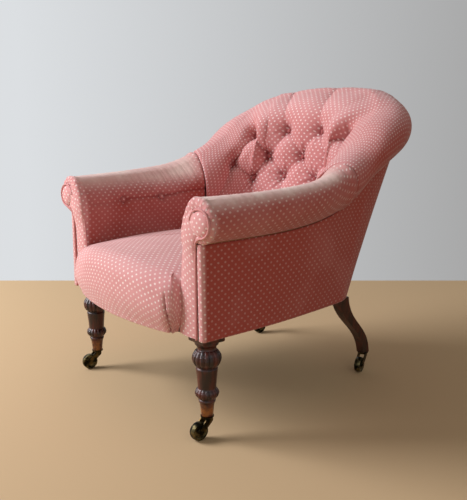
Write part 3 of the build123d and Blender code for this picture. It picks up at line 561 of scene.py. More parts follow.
# %% Plain weaves
def plain_cloth(name, dark, light, step):
    material, tree, shader = new_material(name, Roughness=0.92)
    place = add(tree, "TexCoord", out="Object")
    weave = add(tree, "Math", operation="MULTIPLY", inputs=[
        add(tree, "TexWave", {"Vector": place, "Scale": bands(step), "Distortion": 1.0},
            out="Fac", bands_direction=way) for way in ("X", "Y")])
    dust = add(tree, "TexNoise", {"Vector": place, "Scale": patches(83.3), "Detail": 4.0})
    tone = add(tree, "Math", (weave, dust), operation="MULTIPLY")
    colour = add(tree, "Mix", {0: tone, 6: dark, 7: light}, out=2, data_type="RGBA")
    tree.links.new(colour, shader.inputs["Base Color"])
    bump = add(tree, "Bump", {"Height": weave, "Strength": 0.4, "Distance": 0.0008})
    tree.links.new(bump, shader.inputs["Normal"])
    return material


# Thread spacings in mm. Coarse jute and hessian look dusty and show their
# weave. The lining's real 0.3 mm is too fine to show, so it is drawn coarser.
JUTE = plain_cloth("jute", "#6b5233", "#a98857", 1.745)
HESSIAN = plain_cloth("hessian", "#7c6440", "#b79a68", 2.244)
BLACK_CLOTH = plain_cloth("black_lining", "#0d0c0b", "#23201e", 1.428)
print("materials:", len(bpy.data.materials))

# %% [markdown]
# ## Tufted back
# The back is stuffed hair under one cloth, which is pulled through to the
# frame at thirteen buttons. The fullness between the buttons is laid in folds
# that meet in diamonds, and the rest runs over the crest in upright pleats. A
# cloth simulation could pull a flat sheet into such a back, but it would lay
# the folds where it likes. Here the skin is a fine grid over the shell's cuts,
# and each pull, fold and swell is a depth that depends on how far along the
# cloth a point lies from the button or the fold.

# %% Buttons of the back
# place x, y, z | degrees that it faces in toward the middle | how far it looks up
BACK_BUTTONS = [
    (65, 231, 631, 8, 0.25), (183, 213, 610, 22, 0.65),
    (0, 222, 562, 0, 0.2), (120, 205, 560, 28, 0.15), (208, 141, 533, 60, 0.35),
    (60, 209, 506, 8, 0.2), (155, 176, 497, 38, 0.15),
]


def back_button_places():
    """Place and facing of each button, by its row in the list and its side."""
    found = {}
    for k, (x, y, z, turn, tilt) in enumerate(BACK_BUTTONS):
        turn = math.radians(turn)
        for side in ((1, -1) if x else (1,)):
            found[k, side] = ((side * x, y, z), (-side * math.sin(turn), -math.cos(turn), tilt))
    return found


places = back_button_places()
print("back buttons:", len(places))


# %% Pits
def above(grid, place, facing):
    """Which point of a skin lies nearest a button, and the way from the button to it."""
    away = grid - np.array(place, float)
    index = np.unravel_index(np.linalg.norm(away, axis=-1).argmin(), grid.shape[:2])
    return index, away[index] - 0.3 * unit(np.array(facing, float))


def pull_down(grid, cloth, buttons, seed, reach, pucker):
    """Pits over the buttons, with the puckers that radiate from them."""
    moved, marks = np.zeros_like(grid), np.zeros(grid.shape[:2])
    normal = normals(grid)
    for n, (place, facing) in enumerate(buttons):
        index, pull = above(grid, place, facing)
        flat = cloth - cloth[index]
        off, turn = np.linalg.norm(flat, axis=-1), np.arctan2(flat[..., 1], flat[..., 0])
        wide = reach * max(1, np.linalg.norm(pull) / 26)
        moved -= pull * np.exp(-(np.maximum(off - 5, 0) / wide)**1.15)[..., None]
        rays = (np.sin(9 * turn + seed + n) + 0.7 * np.sin(14 * turn + 2 * n + 1)
                + 0.5 * np.sin(5 * turn + 3 * n))
        ring = np.exp(-((off - 15) / 9)**2) + 0.4 * np.exp(-((off - 30) / 12)**2)
        moved += normal * (pucker * rays * ring)[..., None]
        marks = np.maximum(marks, np.exp(-(off / (reach * 0.8))**2))
    return moved, marks


flat = np.stack(np.mgrid[-40:41, -40:41], -1) * 1.0
button = [((0, 0, -20), (0, 0, 1))]
pit = pull_down(np.pad(flat, ((0, 0), (0, 0), (0, 1))), flat, button, 0, 18.5, 0)[0]
print("a pit", -pit[40, 40, 2].round(1), "mm deep is", -pit[40, 58, 2].round(1), "deep 18 mm off")


# %% Creases
def crease(cloth, folds, seed):
    """Depth of folds that run between points of the cloth, and the way to the nearest."""
    depth, nearest = np.zeros(cloth.shape[:2]), np.full(cloth.shape[:2], 1e6)
    for n, (start, end, deep, width, sway) in enumerate(folds):
        start, end = np.array(start, float), np.array(end, float)
        run = end - start
        length = np.linalg.norm(run)
        s = np.clip((cloth - start) @ run / length**2, 0, 1)
        bend = sway * np.sin(np.pi * s) + 1.2 * ripple(s * 9 + n * 3, seed + n)
        side = np.array([-run[1], run[0]]) / length
        near = start + s[..., None] * run + bend[..., None] * side
        away = np.linalg.norm(cloth - near, axis=-1)
        strong = deep * (0.62 + 0.38 * np.abs(2 * s - 1))  # deepest at its buttons
        depth = np.maximum(depth, strong / (1 + (away / width)**2)**1.4)
        nearest = np.minimum(nearest, away)
    return depth, nearest


one_fold = crease(np.array([[(50.0, 0.0), (50.0, 40.0)]]), [((0, 0), (100, 0), 5, 5, 0)], 1)[0]
print("a fold of 5 mm is", one_fold.round(1).tolist(), "mm deep at its middle and 40 mm off")

# %% The back's grid
ROWS = 360
COLUMNS = 170
CUT = 0.003  # of a station, left open at a seam
back_t = np.linspace(SEAM + CUT, 2 * MIDDLE - SEAM - CUT, ROWS + 1)
back = skin(back_t, COLUMNS)
column = np.arange(COLUMNS)
# The cuts cross where the shell turns sharply, so the lower skin is relaxed
# along its rows. The roll, whose outline is seen, is relaxed less.
ease = 0.25 * (1 - 0.75 * smooth(column, 104, 124))[None, :, None]
for _ in range(110):
    back[1:-1] += ease * (back[2:] - 2 * back[1:-1] + back[:-2])
back_cloth = np.stack([lengths(back, 0), lengths(back, 1)], -1)
back_cloth[..., 0] -= back_cloth[ROWS // 2, :, 0]
spots = {key: back_cloth[above(back, *place)[0]] for key, place in places.items()}
height = {key: above(back, *place)[0][1] for key, place in places.items()}
print("buttons lie under the skin by",
      [round(float(np.linalg.norm(above(back, *b)[1]))) for b in places.values()], "mm")


# %% Where the back's folds run
DIAMONDS = ((0, 2), (0, 3), (1, 3), (1, 4), (2, 5), (3, 5), (3, 6), (4, 6))


def at_height(key, du, at_column):
    """Cloth point straight over or under a button."""
    row = above(back, *places[key])[0][0]
    return back_cloth[row, at_column] + (du, 0)


# each fold: from, to, depth, half width and how far it bows
folds = []
for side in (1, -1):
    other = {k: (2, 1) if k == 2 else (k, side) for k in range(7)}
    for a, b in DIAMONDS:
        folds.append((spots[other[a]], spots[other[b]], 5.4, 6.4, 3 * side))
    folds.append((spots[0, side], at_height((0, side), 58, 122), 5.5, 3.0, 4))
    folds.append((spots[4, side], at_height((4, side), -62 * side, 36), 4.5, 3.4, 5 * side))
    folds.append((spots[5, side], at_height((5, side), 2 * side, 14), 4.5, 6.0, 0))
    folds.append((spots[6, side], at_height((6, side), 8 * side, 14), 4.5, 6.0, 0))
depth, nearest = crease(back_cloth, folds, 11)
pits, marks = pull_down(back, back_cloth, list(places.values()), 0.4, reach=18.5, pucker=1.9)
print("folds:", len(folds), "deepest", round(float(depth.max()), 1), "mm")

# %% The back pulled into shape
SEAM_TUCK, RETURN = 3.6, 11.0  # how far a seam's edge dips, and then turns in
FULLNESS, FULL_AWAY = 8.0, 27  # the hair's swell, and how far from a fold most of it is reached


def returned(grid, values, at_start=True, at_end=True):
    """Turns a grid's end rows in, so that a seam shows cloth and no hollow."""
    inward = -normals(grid)
    steps = np.array([1.0, 0.55, 0.2])[:, None, None] * RETURN
    first, last = grid[:1] + inward[:1] * steps, grid[-1:] + inward[-1:] * steps[::-1]
    parts = ([first] if at_start else []) + [grid] + ([last] if at_end else [])
    pad = (3 * at_start, 3 * at_end)
    more = [np.pad(v, (pad,) + ((0, 0),) * (v.ndim - 1), mode="edge") for v in values]
    return np.concatenate(parts), more


low, high = min(height.values()), max(height.values())
tufted = smooth(column, low - 60, low - 10) * smooth(-column, -high - 34, -high)
puff = FULLNESS * (1 - np.exp(-(nearest / FULL_AWAY)**2)) * tufted[None, :] * (1 - marks)
from_seam = np.minimum(np.arange(ROWS + 1), np.arange(ROWS + 1)[::-1])[:, None] * 1.0
tuck_in = SEAM_TUCK * (1 - smooth(from_seam, -1, 2.6))
on_crest = smooth(column, high + 4, high + 26) * smooth(-column, -150, -120)
crest_pull = 0.5 * ripple(back_cloth[..., 0] / 4.6, 5) * on_crest
lift = puff - depth * (1 - marks) + crest_pull - tuck_in
back = back + normals(back) * lift[..., None] + pits
print("the back swells by up to", round(float(lift.max()), 1), "mm")

# %% The back's painted shade and light, and its mesh
# Painted shade: the cloth is painted deep red in the button pits and along the folds
fold_shade = np.clip(0.95 * marks + smooth(depth, 1.2, 6.0) * 0.7, 0, 1)
# Painted light: the cloth is painted paler where it faces up toward the lamps, and less pale from
# column 120 on, over the back of the roll and under it, which turn away from them
faded = (0.54 + 0.34 * smooth(normals(back)[..., 2], 0.2, 0.9)
         - 0.45 * smooth(column, 120, 150)[None, :])
back, (turned_cloth, fold_shade, faded) = returned(back, (back_cloth, fold_shade, faded))
marks = {"worn": 0 * fold_shade, "fold": fold_shade, "faded": faded}
back_pad = sheet_object("tufted_back", back, turned_cloth, marks, COTTON, flip=True)
print("tufted back:", back.shape)

# %% [markdown]
# ## Arms
# An arm is the same stuffing with two buttons in one crease. Its top has been
# rubbed to bare tan by elbows. At the front the cloth turns over the end of
# the roll and is gathered round the oval eye of the scroll. The body is made
# as the back was. The turn has to close on an oval, which no cut of the shell
# does, so its rows are drawn one by one from the arm's front edge to the eye.

# %% The cloth over the front
FACING_BACK = -320  # where the arm's front edge stands
EYE = np.array([297.0, 470.0])
EYE_HALF = np.array([31.0, 27.0])
TURN_ROWS, EYE_ROWS = 7, 12


def turned_front(edge):
    """Rows that carry the cloth over the front edge and in to the eye, from the eye out."""
    x, z = edge[:, 0], edge[:, 2]
    toward = np.stack([x, z], 1) - EYE
    angle = np.arctan2(toward[:, 1], toward[:, 0])
    rim = 1 / np.hypot(np.cos(angle) / EYE_HALF[0], np.sin(angle) / EYE_HALF[1])
    on_roll = smooth(z, 385, 440)
    goal = EYE + unit(toward) * (rim - 4)[:, None]
    goal = on_roll[:, None] * goal + (1 - on_roll)[:, None] * np.stack([x + 14, z], 1)
    step = unit(goal - np.stack([x, z], 1))
    deep = 7 + 9 * on_roll
    made = []
    for k in range(1, TURN_ROWS + 1):
        a = math.pi / 2 * k / TURN_ROWS
        swell = (4.5 * math.sin(2 * a) * on_roll)[:, None]
        at = np.stack([x, z], 1) + step * (13 * (1 - math.cos(a)) - swell)
        made.append(np.stack([at[:, 0], FACING_BACK - deep * math.sin(a), at[:, 1]], 1))
    last = made[-1][:, [0, 2]]
    for k in range(1, EYE_ROWS + 1):
        f = k / EYE_ROWS
        at = last + (goal - last) * f
        made.append(np.stack([at[:, 0], FACING_BACK - deep + 3.0 * f * on_roll, at[:, 1]], 1))
    return np.stack(made[::-1]), angle, on_roll


print("the eye is", *(2 * EYE_HALF), "mm wide and high")

# %% The arm's grid
arm = skin(np.linspace(0, SEAM - CUT, 150), COLUMNS)
front, angle, on_roll = turned_front(arm[0])
extra = len(front)
arm = np.concatenate([front, arm])
arm_cloth = np.stack([lengths(arm, 0), lengths(arm, 1)], -1)
arm_cloth[..., 0] -= arm_cloth[extra, :, 0]
arm_cloth[:extra, :, 1] = arm_cloth[extra, :, 1]
u, v = arm_cloth[..., 0], arm_cloth[..., 1]
normal = normals(arm)
body = np.arange(len(arm))[:, None] >= extra
end = u[-1, :].max()
print("arm grid:", arm.shape, "cloth", round(float(end)), "mm long")

# %% The arm's crease and gathers
ARM_BUTTONS = [((243, y, 454), (-1, 0, 0.12)) for y in (-204, -85)]

spots = []
for button in ARM_BUTTONS:
    row, at = above(arm[extra:], *button)[0]
    spots.append(arm_cloth[row + extra, at])
level = spots[0][1]  # the crease's height up the cloth
folds = [
    (spots[0], spots[1], 5.0, 6.0, 1.0),
    (spots[1], (end + 6, spots[1][1] + 12), 5.5, 5.0, 2.0),
    (spots[0], (22, level - 6), 2.0, 7.0, 1.0),
]
depth, _ = crease(arm_cloth, folds, 31)
pits, marks = pull_down(arm, arm_cloth, ARM_BUTTONS, 0.9, reach=11.0, pucker=0.45)
depth = depth * (1 - marks) * body
top = smooth(v, level + 8, level + 40) * smooth(-v, -v.max() + 60, -v.max() + 130)
drag = 0.55 * ripple(u / 3.4 + 0.02 * v, 8) * top * body * smooth(u, 10, 60)
rear = smooth(u, end - 34, end - 6)
gathers = 0.8 * np.abs(ripple(v / 3.0, 14)) * rear * smooth(v, level + 30, level + 60)
rays = np.sin(angle * 19) + 0.6 * np.sin(angle * 31 + 1) + 0.4 * np.sin(angle * 12 + 2)
ruck = 0.42 * rays[None, :] * on_roll[None, :]
ruck = ruck * np.exp(-(np.maximum(u, 0) / 16)**2) * smooth(u, -34, -22)
full = 4.5 * rear * smooth(v, level - 30, level + 30) * np.exp(-((end - u) / 26 - 0.9)**2)
from_seam = np.arange(len(arm))[::-1][:, None] * 1.0
full = full - SEAM_TUCK * (1 - smooth(from_seam, -1, 3.5))
lift = drag + ruck - depth - gathers + full
arm = arm + normal * lift[..., None] + pits * body[..., None]
print("arm pulled in by up to", round(float(-lift.min()), 1), "mm")

# %% The arm's wear, its painted light and shade, and its meshes
lit = normal[..., 2] - 0.25 * normal[..., 0]
crown = smooth(lit + 0.08 * ripple(u / 5.0, 77), 0.06, 0.85) * smooth(v, level + 22, level + 70)
outer = 0.03 * smooth(v, level + 90, level + 130)
worn = np.maximum(crown, outer) * smooth(-u, -end - 2, -end + 80)
worn = np.where(body, worn, worn[extra] * smooth(u, -18, 0))
# Painted light: the cloth is painted paler where it faces up, and palest on the front turn, which
# faces the window lamp
faded = 0.16 + 0.6 * smooth(normal[..., 2], 0.1, 0.9)
faded = np.maximum(faded, 0.85 * smooth(-u, -12, 2))
# Painted shade: the cloth is painted deep red in the button pits and the crease
fold_shade = np.clip(0.8 * marks * body + smooth(depth, 1.0, 5.0) * 0.6, 0, 1)
arm, (turned_cloth, worn, fold_shade, faded) = returned(
    arm, (arm_cloth, worn, fold_shade, faded), at_start=False)
marks = {"worn": worn, "fold": fold_shade, "faded": faded}


def mirrored(grid):
    return grid * np.array([-1, 1, 1])


arm_pads = [sheet_object("arm_pad_left", arm, turned_cloth, marks, COTTON, flip=True),
            sheet_object("arm_pad_right", mirrored(arm), turned_cloth, marks, COTTON)]
print("arm pads:", arm.shape)

# %% [markdown]
# ## Facings and scrolls
# The front of each arm is a narrow padded panel that rises from the leg,
# curls in under the roll and ends at the oval eye. A cord follows its outer
# edge and goes round the eye, and a thin one marks the inner edge. A bevelled
# curve could make the cords and a lattice the panels. Here the panel is a grid
# between its two edge lines, and a cord is a ring carried along its path.

# %% Facing panel
STRIP_INNER = [(208, 231), (213, 290), (218, 345), (222, 388),
               (229, 430), (237, 458), (251, 484), (271, 498)]
STRIP_OUTER = [(272, 231), (272, 290), (272, 345), (272, 388),
               (273, 418), (281, 437), (292, 456), (292, 482)]
PANEL_ROWS, PANEL_ACROSS = 90, 26
PANEL_EDGE, PANEL_DOME, PANEL_LEAN = -325.5, 6.5, 6.6  # y, swell, and how far its top leans out
LIT_FRONTS = 1.1  # the fronts face the window lamp and are painted palest: painted light


def facing_panel(side, name):
    inner, outer = smooth_line(STRIP_INNER, PANEL_ROWS), smooth_line(STRIP_OUTER, PANEL_ROWS)
    f = np.linspace(0, 1, PANEL_ACROSS)[None, :]
    front = inner[:, None] + (outer - inner)[:, None] * f[..., None]
    rise = lengths(np.pad(inner, ((0, 0), (0, 1)))[:, None], 0)
    wide = np.linalg.norm(outer - inner, axis=1)[:, None]
    dome = np.clip(1 - (2 * f - 1)**2, 0, 1)**0.42
    pull = 0.35 * ripple(rise / 9 + 0 * f, 3) * (1 - dome)
    y = PANEL_EDGE - PANEL_DOME * dome - PANEL_LEAN * smooth(rise, 165, 225) - pull
    grid = np.stack([front[..., 0] * side, y, front[..., 1]], -1)
    cloth = np.stack([(f - 1) * wide, rise + 0 * f], -1)
    marks = {"worn": 0, "fold": 0, "faded": LIT_FRONTS}
    return sheet_object(name, grid, cloth, marks, COTTON, flip=side == -1)


print("the facing is", STRIP_OUTER[0][0] - STRIP_INNER[0][0], "mm wide at its foot")

# %% Scroll eye
EYE_EDGE, EYE_DOME = -333.5, 9.9  # y of the eye's edge, and how far its middle stands out


def eye_pad(side, name, rings=16, turns=72):
    """Domed oval, with the cloth's spots running straight across it."""
    turn = np.linspace(0, 2 * np.pi, turns, endpoint=False)
    verts, cloth = [(EYE[0] * side, EYE_EDGE - EYE_DOME, EYE[1])], [(EYE[0], EYE[1])]
    for r in np.arange(1, rings + 1) / rings:
        y = EYE_EDGE - EYE_DOME * (1 - r**2.6)**0.6
        for x, z in EYE + 0.97 * r * EYE_HALF * np.stack([np.cos(turn), np.sin(turn)], 1):
            verts.append((x * side, y, z))
            cloth.append((x, z))
    faces = [(0, 1 + j, 1 + (j + 1) % turns) for j in range(turns)]
    faces += grid_faces(rings, turns, wrap=True, start=1)
    if side == 1:
        faces = [face[::-1] for face in faces]
    return new_object(name, verts, faces, cloth, {"worn": 0, "fold": 0, "faded": LIT_FRONTS}, COTTON)


print("an eye stands", EYE_DOME, "mm proud of its edge")

# %% Cords
CORD, THIN_CORD = 2.5, 1.4  # radii
CORD_SIDES = 10


def cord_object(name, path, radius, material):
    """Round cord along a list of points."""
    path = np.asarray(path, float)
    ahead = np.roll(path, -1, 0) - np.roll(path, 1, 0)
    ahead[0], ahead[-1] = path[1] - path[0], path[-1] - path[-2]
    ahead = unit(ahead)
    across = unit(np.cross(ahead, (0.13, 0.97, 0.21)))
    other = np.cross(ahead, across)
    turn = np.linspace(0, 2 * np.pi, CORD_SIDES, endpoint=False)[None, :, None]
    circle = across[:, None] * np.cos(turn) + other[:, None] * np.sin(turn)
    rings = path[:, None] + radius * circle
    rows = len(rings)
    faces = grid_faces(rows, CORD_SIDES, wrap=True)
    faces.append(tuple(range(CORD_SIDES)))
    faces.append(tuple((rows - 1) * CORD_SIDES + k for k in range(CORD_SIDES))[::-1])
    gone = lengths(rings, 0)[:, :1] + 0 * turn[..., 0]
    cloth = np.stack([gone, 0 * gone + turn[..., 0] * radius], -1)
    # Painted light: the cords are painted fairly pale, as lit
    return new_object(name, rings.reshape(-1, 3), faces, cloth.reshape(-1, 2),
                      {"faded": 0.8}, material)


def facing_cords(side):
    """Paths of the cord up the edge and round the eye, and of the one up the inner edge."""
    up = [(274.6, -331.0, z) for z in np.linspace(231, 408, 24)]
    curl = [(275.2, -332.0, 419), (279.0, -333.6, 429.5), (286.5, -335.2, 437)]
    turn = np.linspace(math.radians(-88), math.radians(172), 60)
    oval = EYE + (EYE_HALF + 1.2) * np.stack([np.cos(turn), np.sin(turn)], 1)
    ring = [(x, -337.4, z) for x, z in oval]
    inner = [(x - 0.8, -325.6, z) for x, z in smooth_line(STRIP_INNER[:7], 60)]
    return [smooth_line(points, 150) * (side, 1, 1) for points in (up + curl + ring, inner)]


print("cords are", 2 * CORD, "and", 2 * THIN_CORD, "mm thick")

# %% Both fronts
fronts = {}
for side, name in ((1, "left"), (-1, "right")):
    around, inner = facing_cords(side)
    fronts[name] = [facing_panel(side, f"facing_{name}"), eye_pad(side, f"scroll_eye_{name}"),
                    cord_object(f"eye_cord_{name}", around, CORD, CORD_COTTON),
                    cord_object(f"inner_cord_{name}", inner, THIN_CORD, CORD_COTTON)]
print("fronts:", sum(len(v) for v in fronts.values()), "pieces; a cord is",
      round(float(np.linalg.norm(np.diff(around, axis=0), axis=1).sum())), "mm long, the thin one",
      round(float(np.linalg.norm(np.diff(inner, axis=0), axis=1).sum())))

# %% [markdown]
# ## Seat
# The seat is sprung, so it crowns in the middle, rolls over a soft front edge
# and fills out below it. At each front corner the spare cloth is folded into
# one upright pleat, and a puckered gusset runs back to the facing. A cushion
# could be blown up by a cloth simulation. This one is not a bag: it is drawn
# over springs and tacked under the rail. So its plan is one loop, and rows run
# from the middle to the loop, over its edge and down.

# %% Seat outline
SEAT_HALF, SEAT_FRONT, FRONT_BOW = 222, -392, 32  # the front edge: half width, y and bow


def seat_outline():
    """Plan of the seat, against the clock from the front of the sitter's left."""
    t = np.linspace(0, 2 * MIDDLE, 121)
    v, run = along(t), ahead_of(t)
    out = unit(np.stack([run[:, 3], -run[:, 2]], 1))
    inner = np.stack([v[:, 2], v[:, 3]], 1) - out * 1.0
    corner = [(221, -328), (222.5, -345), (219.5, -353), (212, -359.5)]
    radius = (SEAT_HALF**2 + FRONT_BOW**2) / (2 * FRONT_BOW)
    bow = [(x, SEAT_FRONT + radius - math.sqrt(radius**2 - x * x))
           for x in np.linspace(198, -198, 45)]
    front = np.array(corner + bow + [(-x, y) for x, y in corner[::-1]])
    return np.concatenate([front, inner[::-1]])


def even_loop(loop, count):
    """Even points round a closed loop."""
    closed = np.concatenate([loop, loop[:1]])
    gone = np.concatenate([[0], np.cumsum(np.linalg.norm(np.diff(closed, axis=0), axis=1))])
    at = np.linspace(0, gone[-1], count, endpoint=False)
    return np.stack([np.interp(at, gone, closed[:, k]) for k in (0, 1)], 1)


def soften(values, times):
    for _ in range(times):
        values = 0.5 * values + 0.25 * (np.roll(values, 1, 0) + np.roll(values, -1, 0))
    return values


CENTRE = np.array([0.0, -110.0])
loop = soften(even_loop(seat_outline(), 640), 4)
ahead = np.roll(loop, -1, 0) - np.roll(loop, 1, 0)
loop_out = unit(soften(unit(np.stack([ahead[:, 1], -ahead[:, 0]], 1)), 6))
if (loop_out * (loop - CENTRE)).sum() < 0:
    loop_out = -loop_out
hang = smooth(-loop[:, 1], 320, 328)  # one along the front, which hangs free of the arms
print("seat outline:", loop.min(0).round(), loop.max(0).round())

# %% Seat skin
SEAT_TOP, SEAT_BOTTOM = 387, 231.0
SIDE_FALL, END_FALL = 30, 22  # how far the crown falls to the sides, and to front and back
TOP_ROWS = 60


def seat_height(x, y):
    """The crown, highest a little behind the middle."""
    return SEAT_TOP - ((x / 228)**2 * SIDE_FALL + (np.abs(y + 95) / 290)**2.2 * END_FALL)


def seat_skin():
    rows, clothes = [], []

    def add_row(at, z):
        rows.append(np.concatenate([at, z[:, None]], 1))

    edge_in = 15 + 33 * hang
    start = loop - loop_out * edge_in[:, None]
    for f in np.linspace(0.02, 1, TOP_ROWS):
        clothes.append(CENTRE + (start - CENTRE) * f)
        add_row(clothes[-1], seat_height(*clothes[-1].T))
    z0 = rows[-1][:, 2]
    drop = (z0 - SEAT_BOTTOM) * hang + 34 * (1 - hang)
    for a in np.linspace(0, math.pi / 2, 15)[1:]:  # over the edge
        z = z0 - (14 + 30 * hang) * (1 - math.cos(a)) - 3 * math.sin(a)
        add_row(start + loop_out * (edge_in * math.sin(a))[:, None], z)
    z1 = rows[-1][:, 2]
    for f in np.linspace(0, 1, 36)[1:]:  # down the front
        bulge = (4.0 * np.sin(math.pi * min(1, f * 1.15)) - 13 * f**2.2) * hang
        add_row(loop + loop_out * bulge[:, None], z1 + (z0 - drop - z1) * f)
    for f in (0.3, 0.7, 1.0, 1.4, 2.0):  # in under the rail
        z = z0 - drop - 2.2 * np.sqrt(min(1, f)) * hang
        add_row(loop + loop_out * (-13 * hang - 9 * f)[:, None], z)
    grid = np.stack(rows)
    past = lengths(grid[TOP_ROWS - 1:], 0)
    cloth = np.concatenate([np.stack(clothes), clothes[-1] + loop_out * past[1:, :, None]])
    return grid, cloth


seat, seat_cloth = seat_skin()
print("seat skin:", seat.shape)

# %% The seat's corners
x, y, z = seat[..., 0], seat[..., 1], seat[..., 2]
step = np.linalg.norm(np.diff(loop, axis=0, append=loop[:1]), axis=1)
gone = np.concatenate([[0], np.cumsum(step)[:-1]])
hanging = np.flatnonzero(hang > 0.5)
first, last = gone[hanging.min()], gone[hanging.max()]
corner_way = np.minimum(np.abs(gone - first), np.abs(last - gone))[None, :]
past = corner_way - (34 + 7 * smooth(z, 245, 320))  # how far beyond the pleat's fold
gusset = hang[None, :] * smooth(-z, -296, -262) * (past < 0)
pleat = 4.5 * smooth(-z, -326, -300) * hang[None, :] / (1 + (past / 1.7)**2)**1.4
pleat = pleat + 1.8 * gusset * np.exp(past / 16)
pucker = gusset * (1.6 * ripple(z / 4.6 + corner_way * 0.2, 22)
                   + 0.9 * ripple((z - corner_way) / 3.6, 27)) * smooth(corner_way, 0, 8)
tacks = 0.9 * np.abs(ripple(gone / 7.0, 63))[None, :] * smooth(-z, -252, -234) * hang[None, :]
lumps = 1.1 * ripple(x / 60 + 0.4 * ripple(y / 70, 44), 41) * ripple(y / 75, 42)
lumps = lumps * smooth(z, 320, 350)
stretch = 0.35 * ripple(x / 11, 51) * smooth(-y, 335, 350) * smooth(-z, -330, -300)
print("pleats of up to", round(float(pleat.max()), 1), "mm,", round(float(first)), "mm round")

# %% The seat's mesh
seat_normal = np.cross(np.gradient(seat, axis=0), np.roll(seat, -1, 1) - np.roll(seat, 1, 1))
seat_normal = unit(seat_normal)
if seat_normal[5, 0, 2] < 0:
    seat_normal = -seat_normal
seat_worn = np.concatenate([[0.1], (0.12 * smooth(z, 330, 360)).ravel()])
# Painted shade: the pleats and the gusset are painted deep red
seat_fold_shade = np.concatenate([[0], np.clip(pleat / 7 + 0.12 * gusset, 0, 1).ravel()])
seat = seat + seat_normal * (pucker - tacks - pleat + lumps + stretch)[..., None]
top_point = [(*CENTRE, float(seat_height(*CENTRE)))]
verts = np.concatenate([top_point, seat.reshape(-1, 3)])
seat_rows, seat_columns = seat.shape[:2]
seat_faces = [(0, 1 + j, 1 + (j + 1) % seat_columns) for j in range(seat_columns)]
seat_faces += grid_faces(seat_rows, seat_columns, wrap=True, start=1)
# Painted light: the seat is painted pale all over, as lit from above
seat_pad = new_object(
    "seat", verts, seat_faces, np.concatenate([[CENTRE], seat_cloth.reshape(-1, 2)]),
    {"worn": seat_worn, "fold": seat_fold_shade, "faded": 0.95}, COTTON)
print("seat:", len(verts), "points, top at", round(float(seat[..., 2].max())), "mm")

# %% [markdown]
# ## Outside covers
# The outsides are flat cloth, tacked under the roll and pulled tight down to
# the seat rail. The front edge of each is turned over a cord of cane, which
# makes a welt against the facing. A plane with a solidify modifier would do
# for a flat side; this shell bends, so the sheet is ruled from its top line to
# its bottom line, and the same modifier gives it the cloth's thickness.

# %% The covers' grids
REAR_SEAM, SEAM_GAP = 4.3, 0.004  # in stations
COVER_ROWS = 46
# How far in, and how far ahead, the cloth goes as it turns over the front edge
WELT = [(17.2, 4.0), (17.2, 7.0), (16.2, 9.2), (13.5, 10.6), (9.5, 11.0),
        (5.0, 10.6), (2.0, 9.2), (0.6, 7.2), (0.1, 4.5)]


def outside_skin(t):
    """Straight up from the rail to under the roll."""
    cuts = Cuts(t)
    top = cuts.place(np.stack([cuts.tack, cuts.under(cuts.tack) - 2], 1)[:, None])
    f = np.linspace(0, 1, COVER_ROWS)[None, :, None]
    return cuts.base[:, None] * (1 - f) + top * f


def with_welt(grid):
    front = np.repeat(grid[:1], len(WELT), 0)
    inward, ahead = np.array(WELT).T
    front[..., 0] -= inward[:, None]
    front[..., 1] = FACING_BACK - ahead[:, None]
    return np.concatenate([front, grid])


arm_side = with_welt(outside_skin(np.linspace(0, REAR_SEAM - SEAM_GAP, 190)))
rear_t = np.linspace(REAR_SEAM + SEAM_GAP, 2 * MIDDLE - REAR_SEAM - SEAM_GAP, 200)
rear_side = outside_skin(rear_t)
print("covers:", arm_side.shape, rear_side.shape)

# %% The covers' meshes
COVER_CLOTH = 2.1  # cotton over thin wadding


def area_of(grid):
    """Square metres of cloth in a grid."""
    a, b = np.diff(grid, axis=0)[:, :-1], np.diff(grid, axis=1)[:-1]
    return float(np.linalg.norm(np.cross(a, b), axis=-1).sum()) * MM**2


def thicken(obj, thickness):
    """Gives a sheet its thickness, inward."""
    mod = obj.modifiers.new("cloth", "SOLIDIFY")
    mod.thickness, mod.offset = thickness * MM, -1.0


def outside_piece(name, grid, side):
    cloth = np.stack([lengths(grid, 0), lengths(grid, 1)], -1)
    slack = 0.5 * ripple(cloth[..., 0] / 45, 61) * ripple(cloth[..., 1] / 60, 62)
    grid = grid - normals(grid) * slack[..., None]
    area = area_of(grid)
    size = (float(cloth[..., 0].max()) * MM, float(cloth[..., 1].max()) * MM)
    grid = grid if side == 1 else mirrored(grid)
    # Painted light and shade: only the welt, which faces the window lamp, is painted pale; the
    # rest of the outside keeps the deep ground with faint spots, as in shade
    marks = {"worn": 0, "fold": 0, "faded": 1.05 * smooth(-grid[..., 1], 318, 326)}
    obj = sheet_object(name, grid, cloth, marks, COTTON, flip=side == -1)
    thicken(obj, COVER_CLOTH)
    print(name, "flat", [round(s, 3) for s in size], "area", round(area, 3))
    return obj, size, area


outsides = {
    "outside_arm_left": outside_piece("outside_arm_cover_left", arm_side, 1),
    "outside_arm_right": outside_piece("outside_arm_cover_right", arm_side, -1),
    "outside_back": outside_piece("outside_back_cover", rear_side, 1),
}

# %% [markdown]
# ## Front legs
# The front legs are turned mahogany with a melon bulb and a ring, both cut
# into sixteen reeds with a gouge, on a foot that has lost its stain. A screw
# modifier would turn the profile but not carve it. Here the profile is swept
# round as a grid, and a gouge that bites where the bulb and the ring are full
# takes its depth off each radius. The square above ends the same grid.

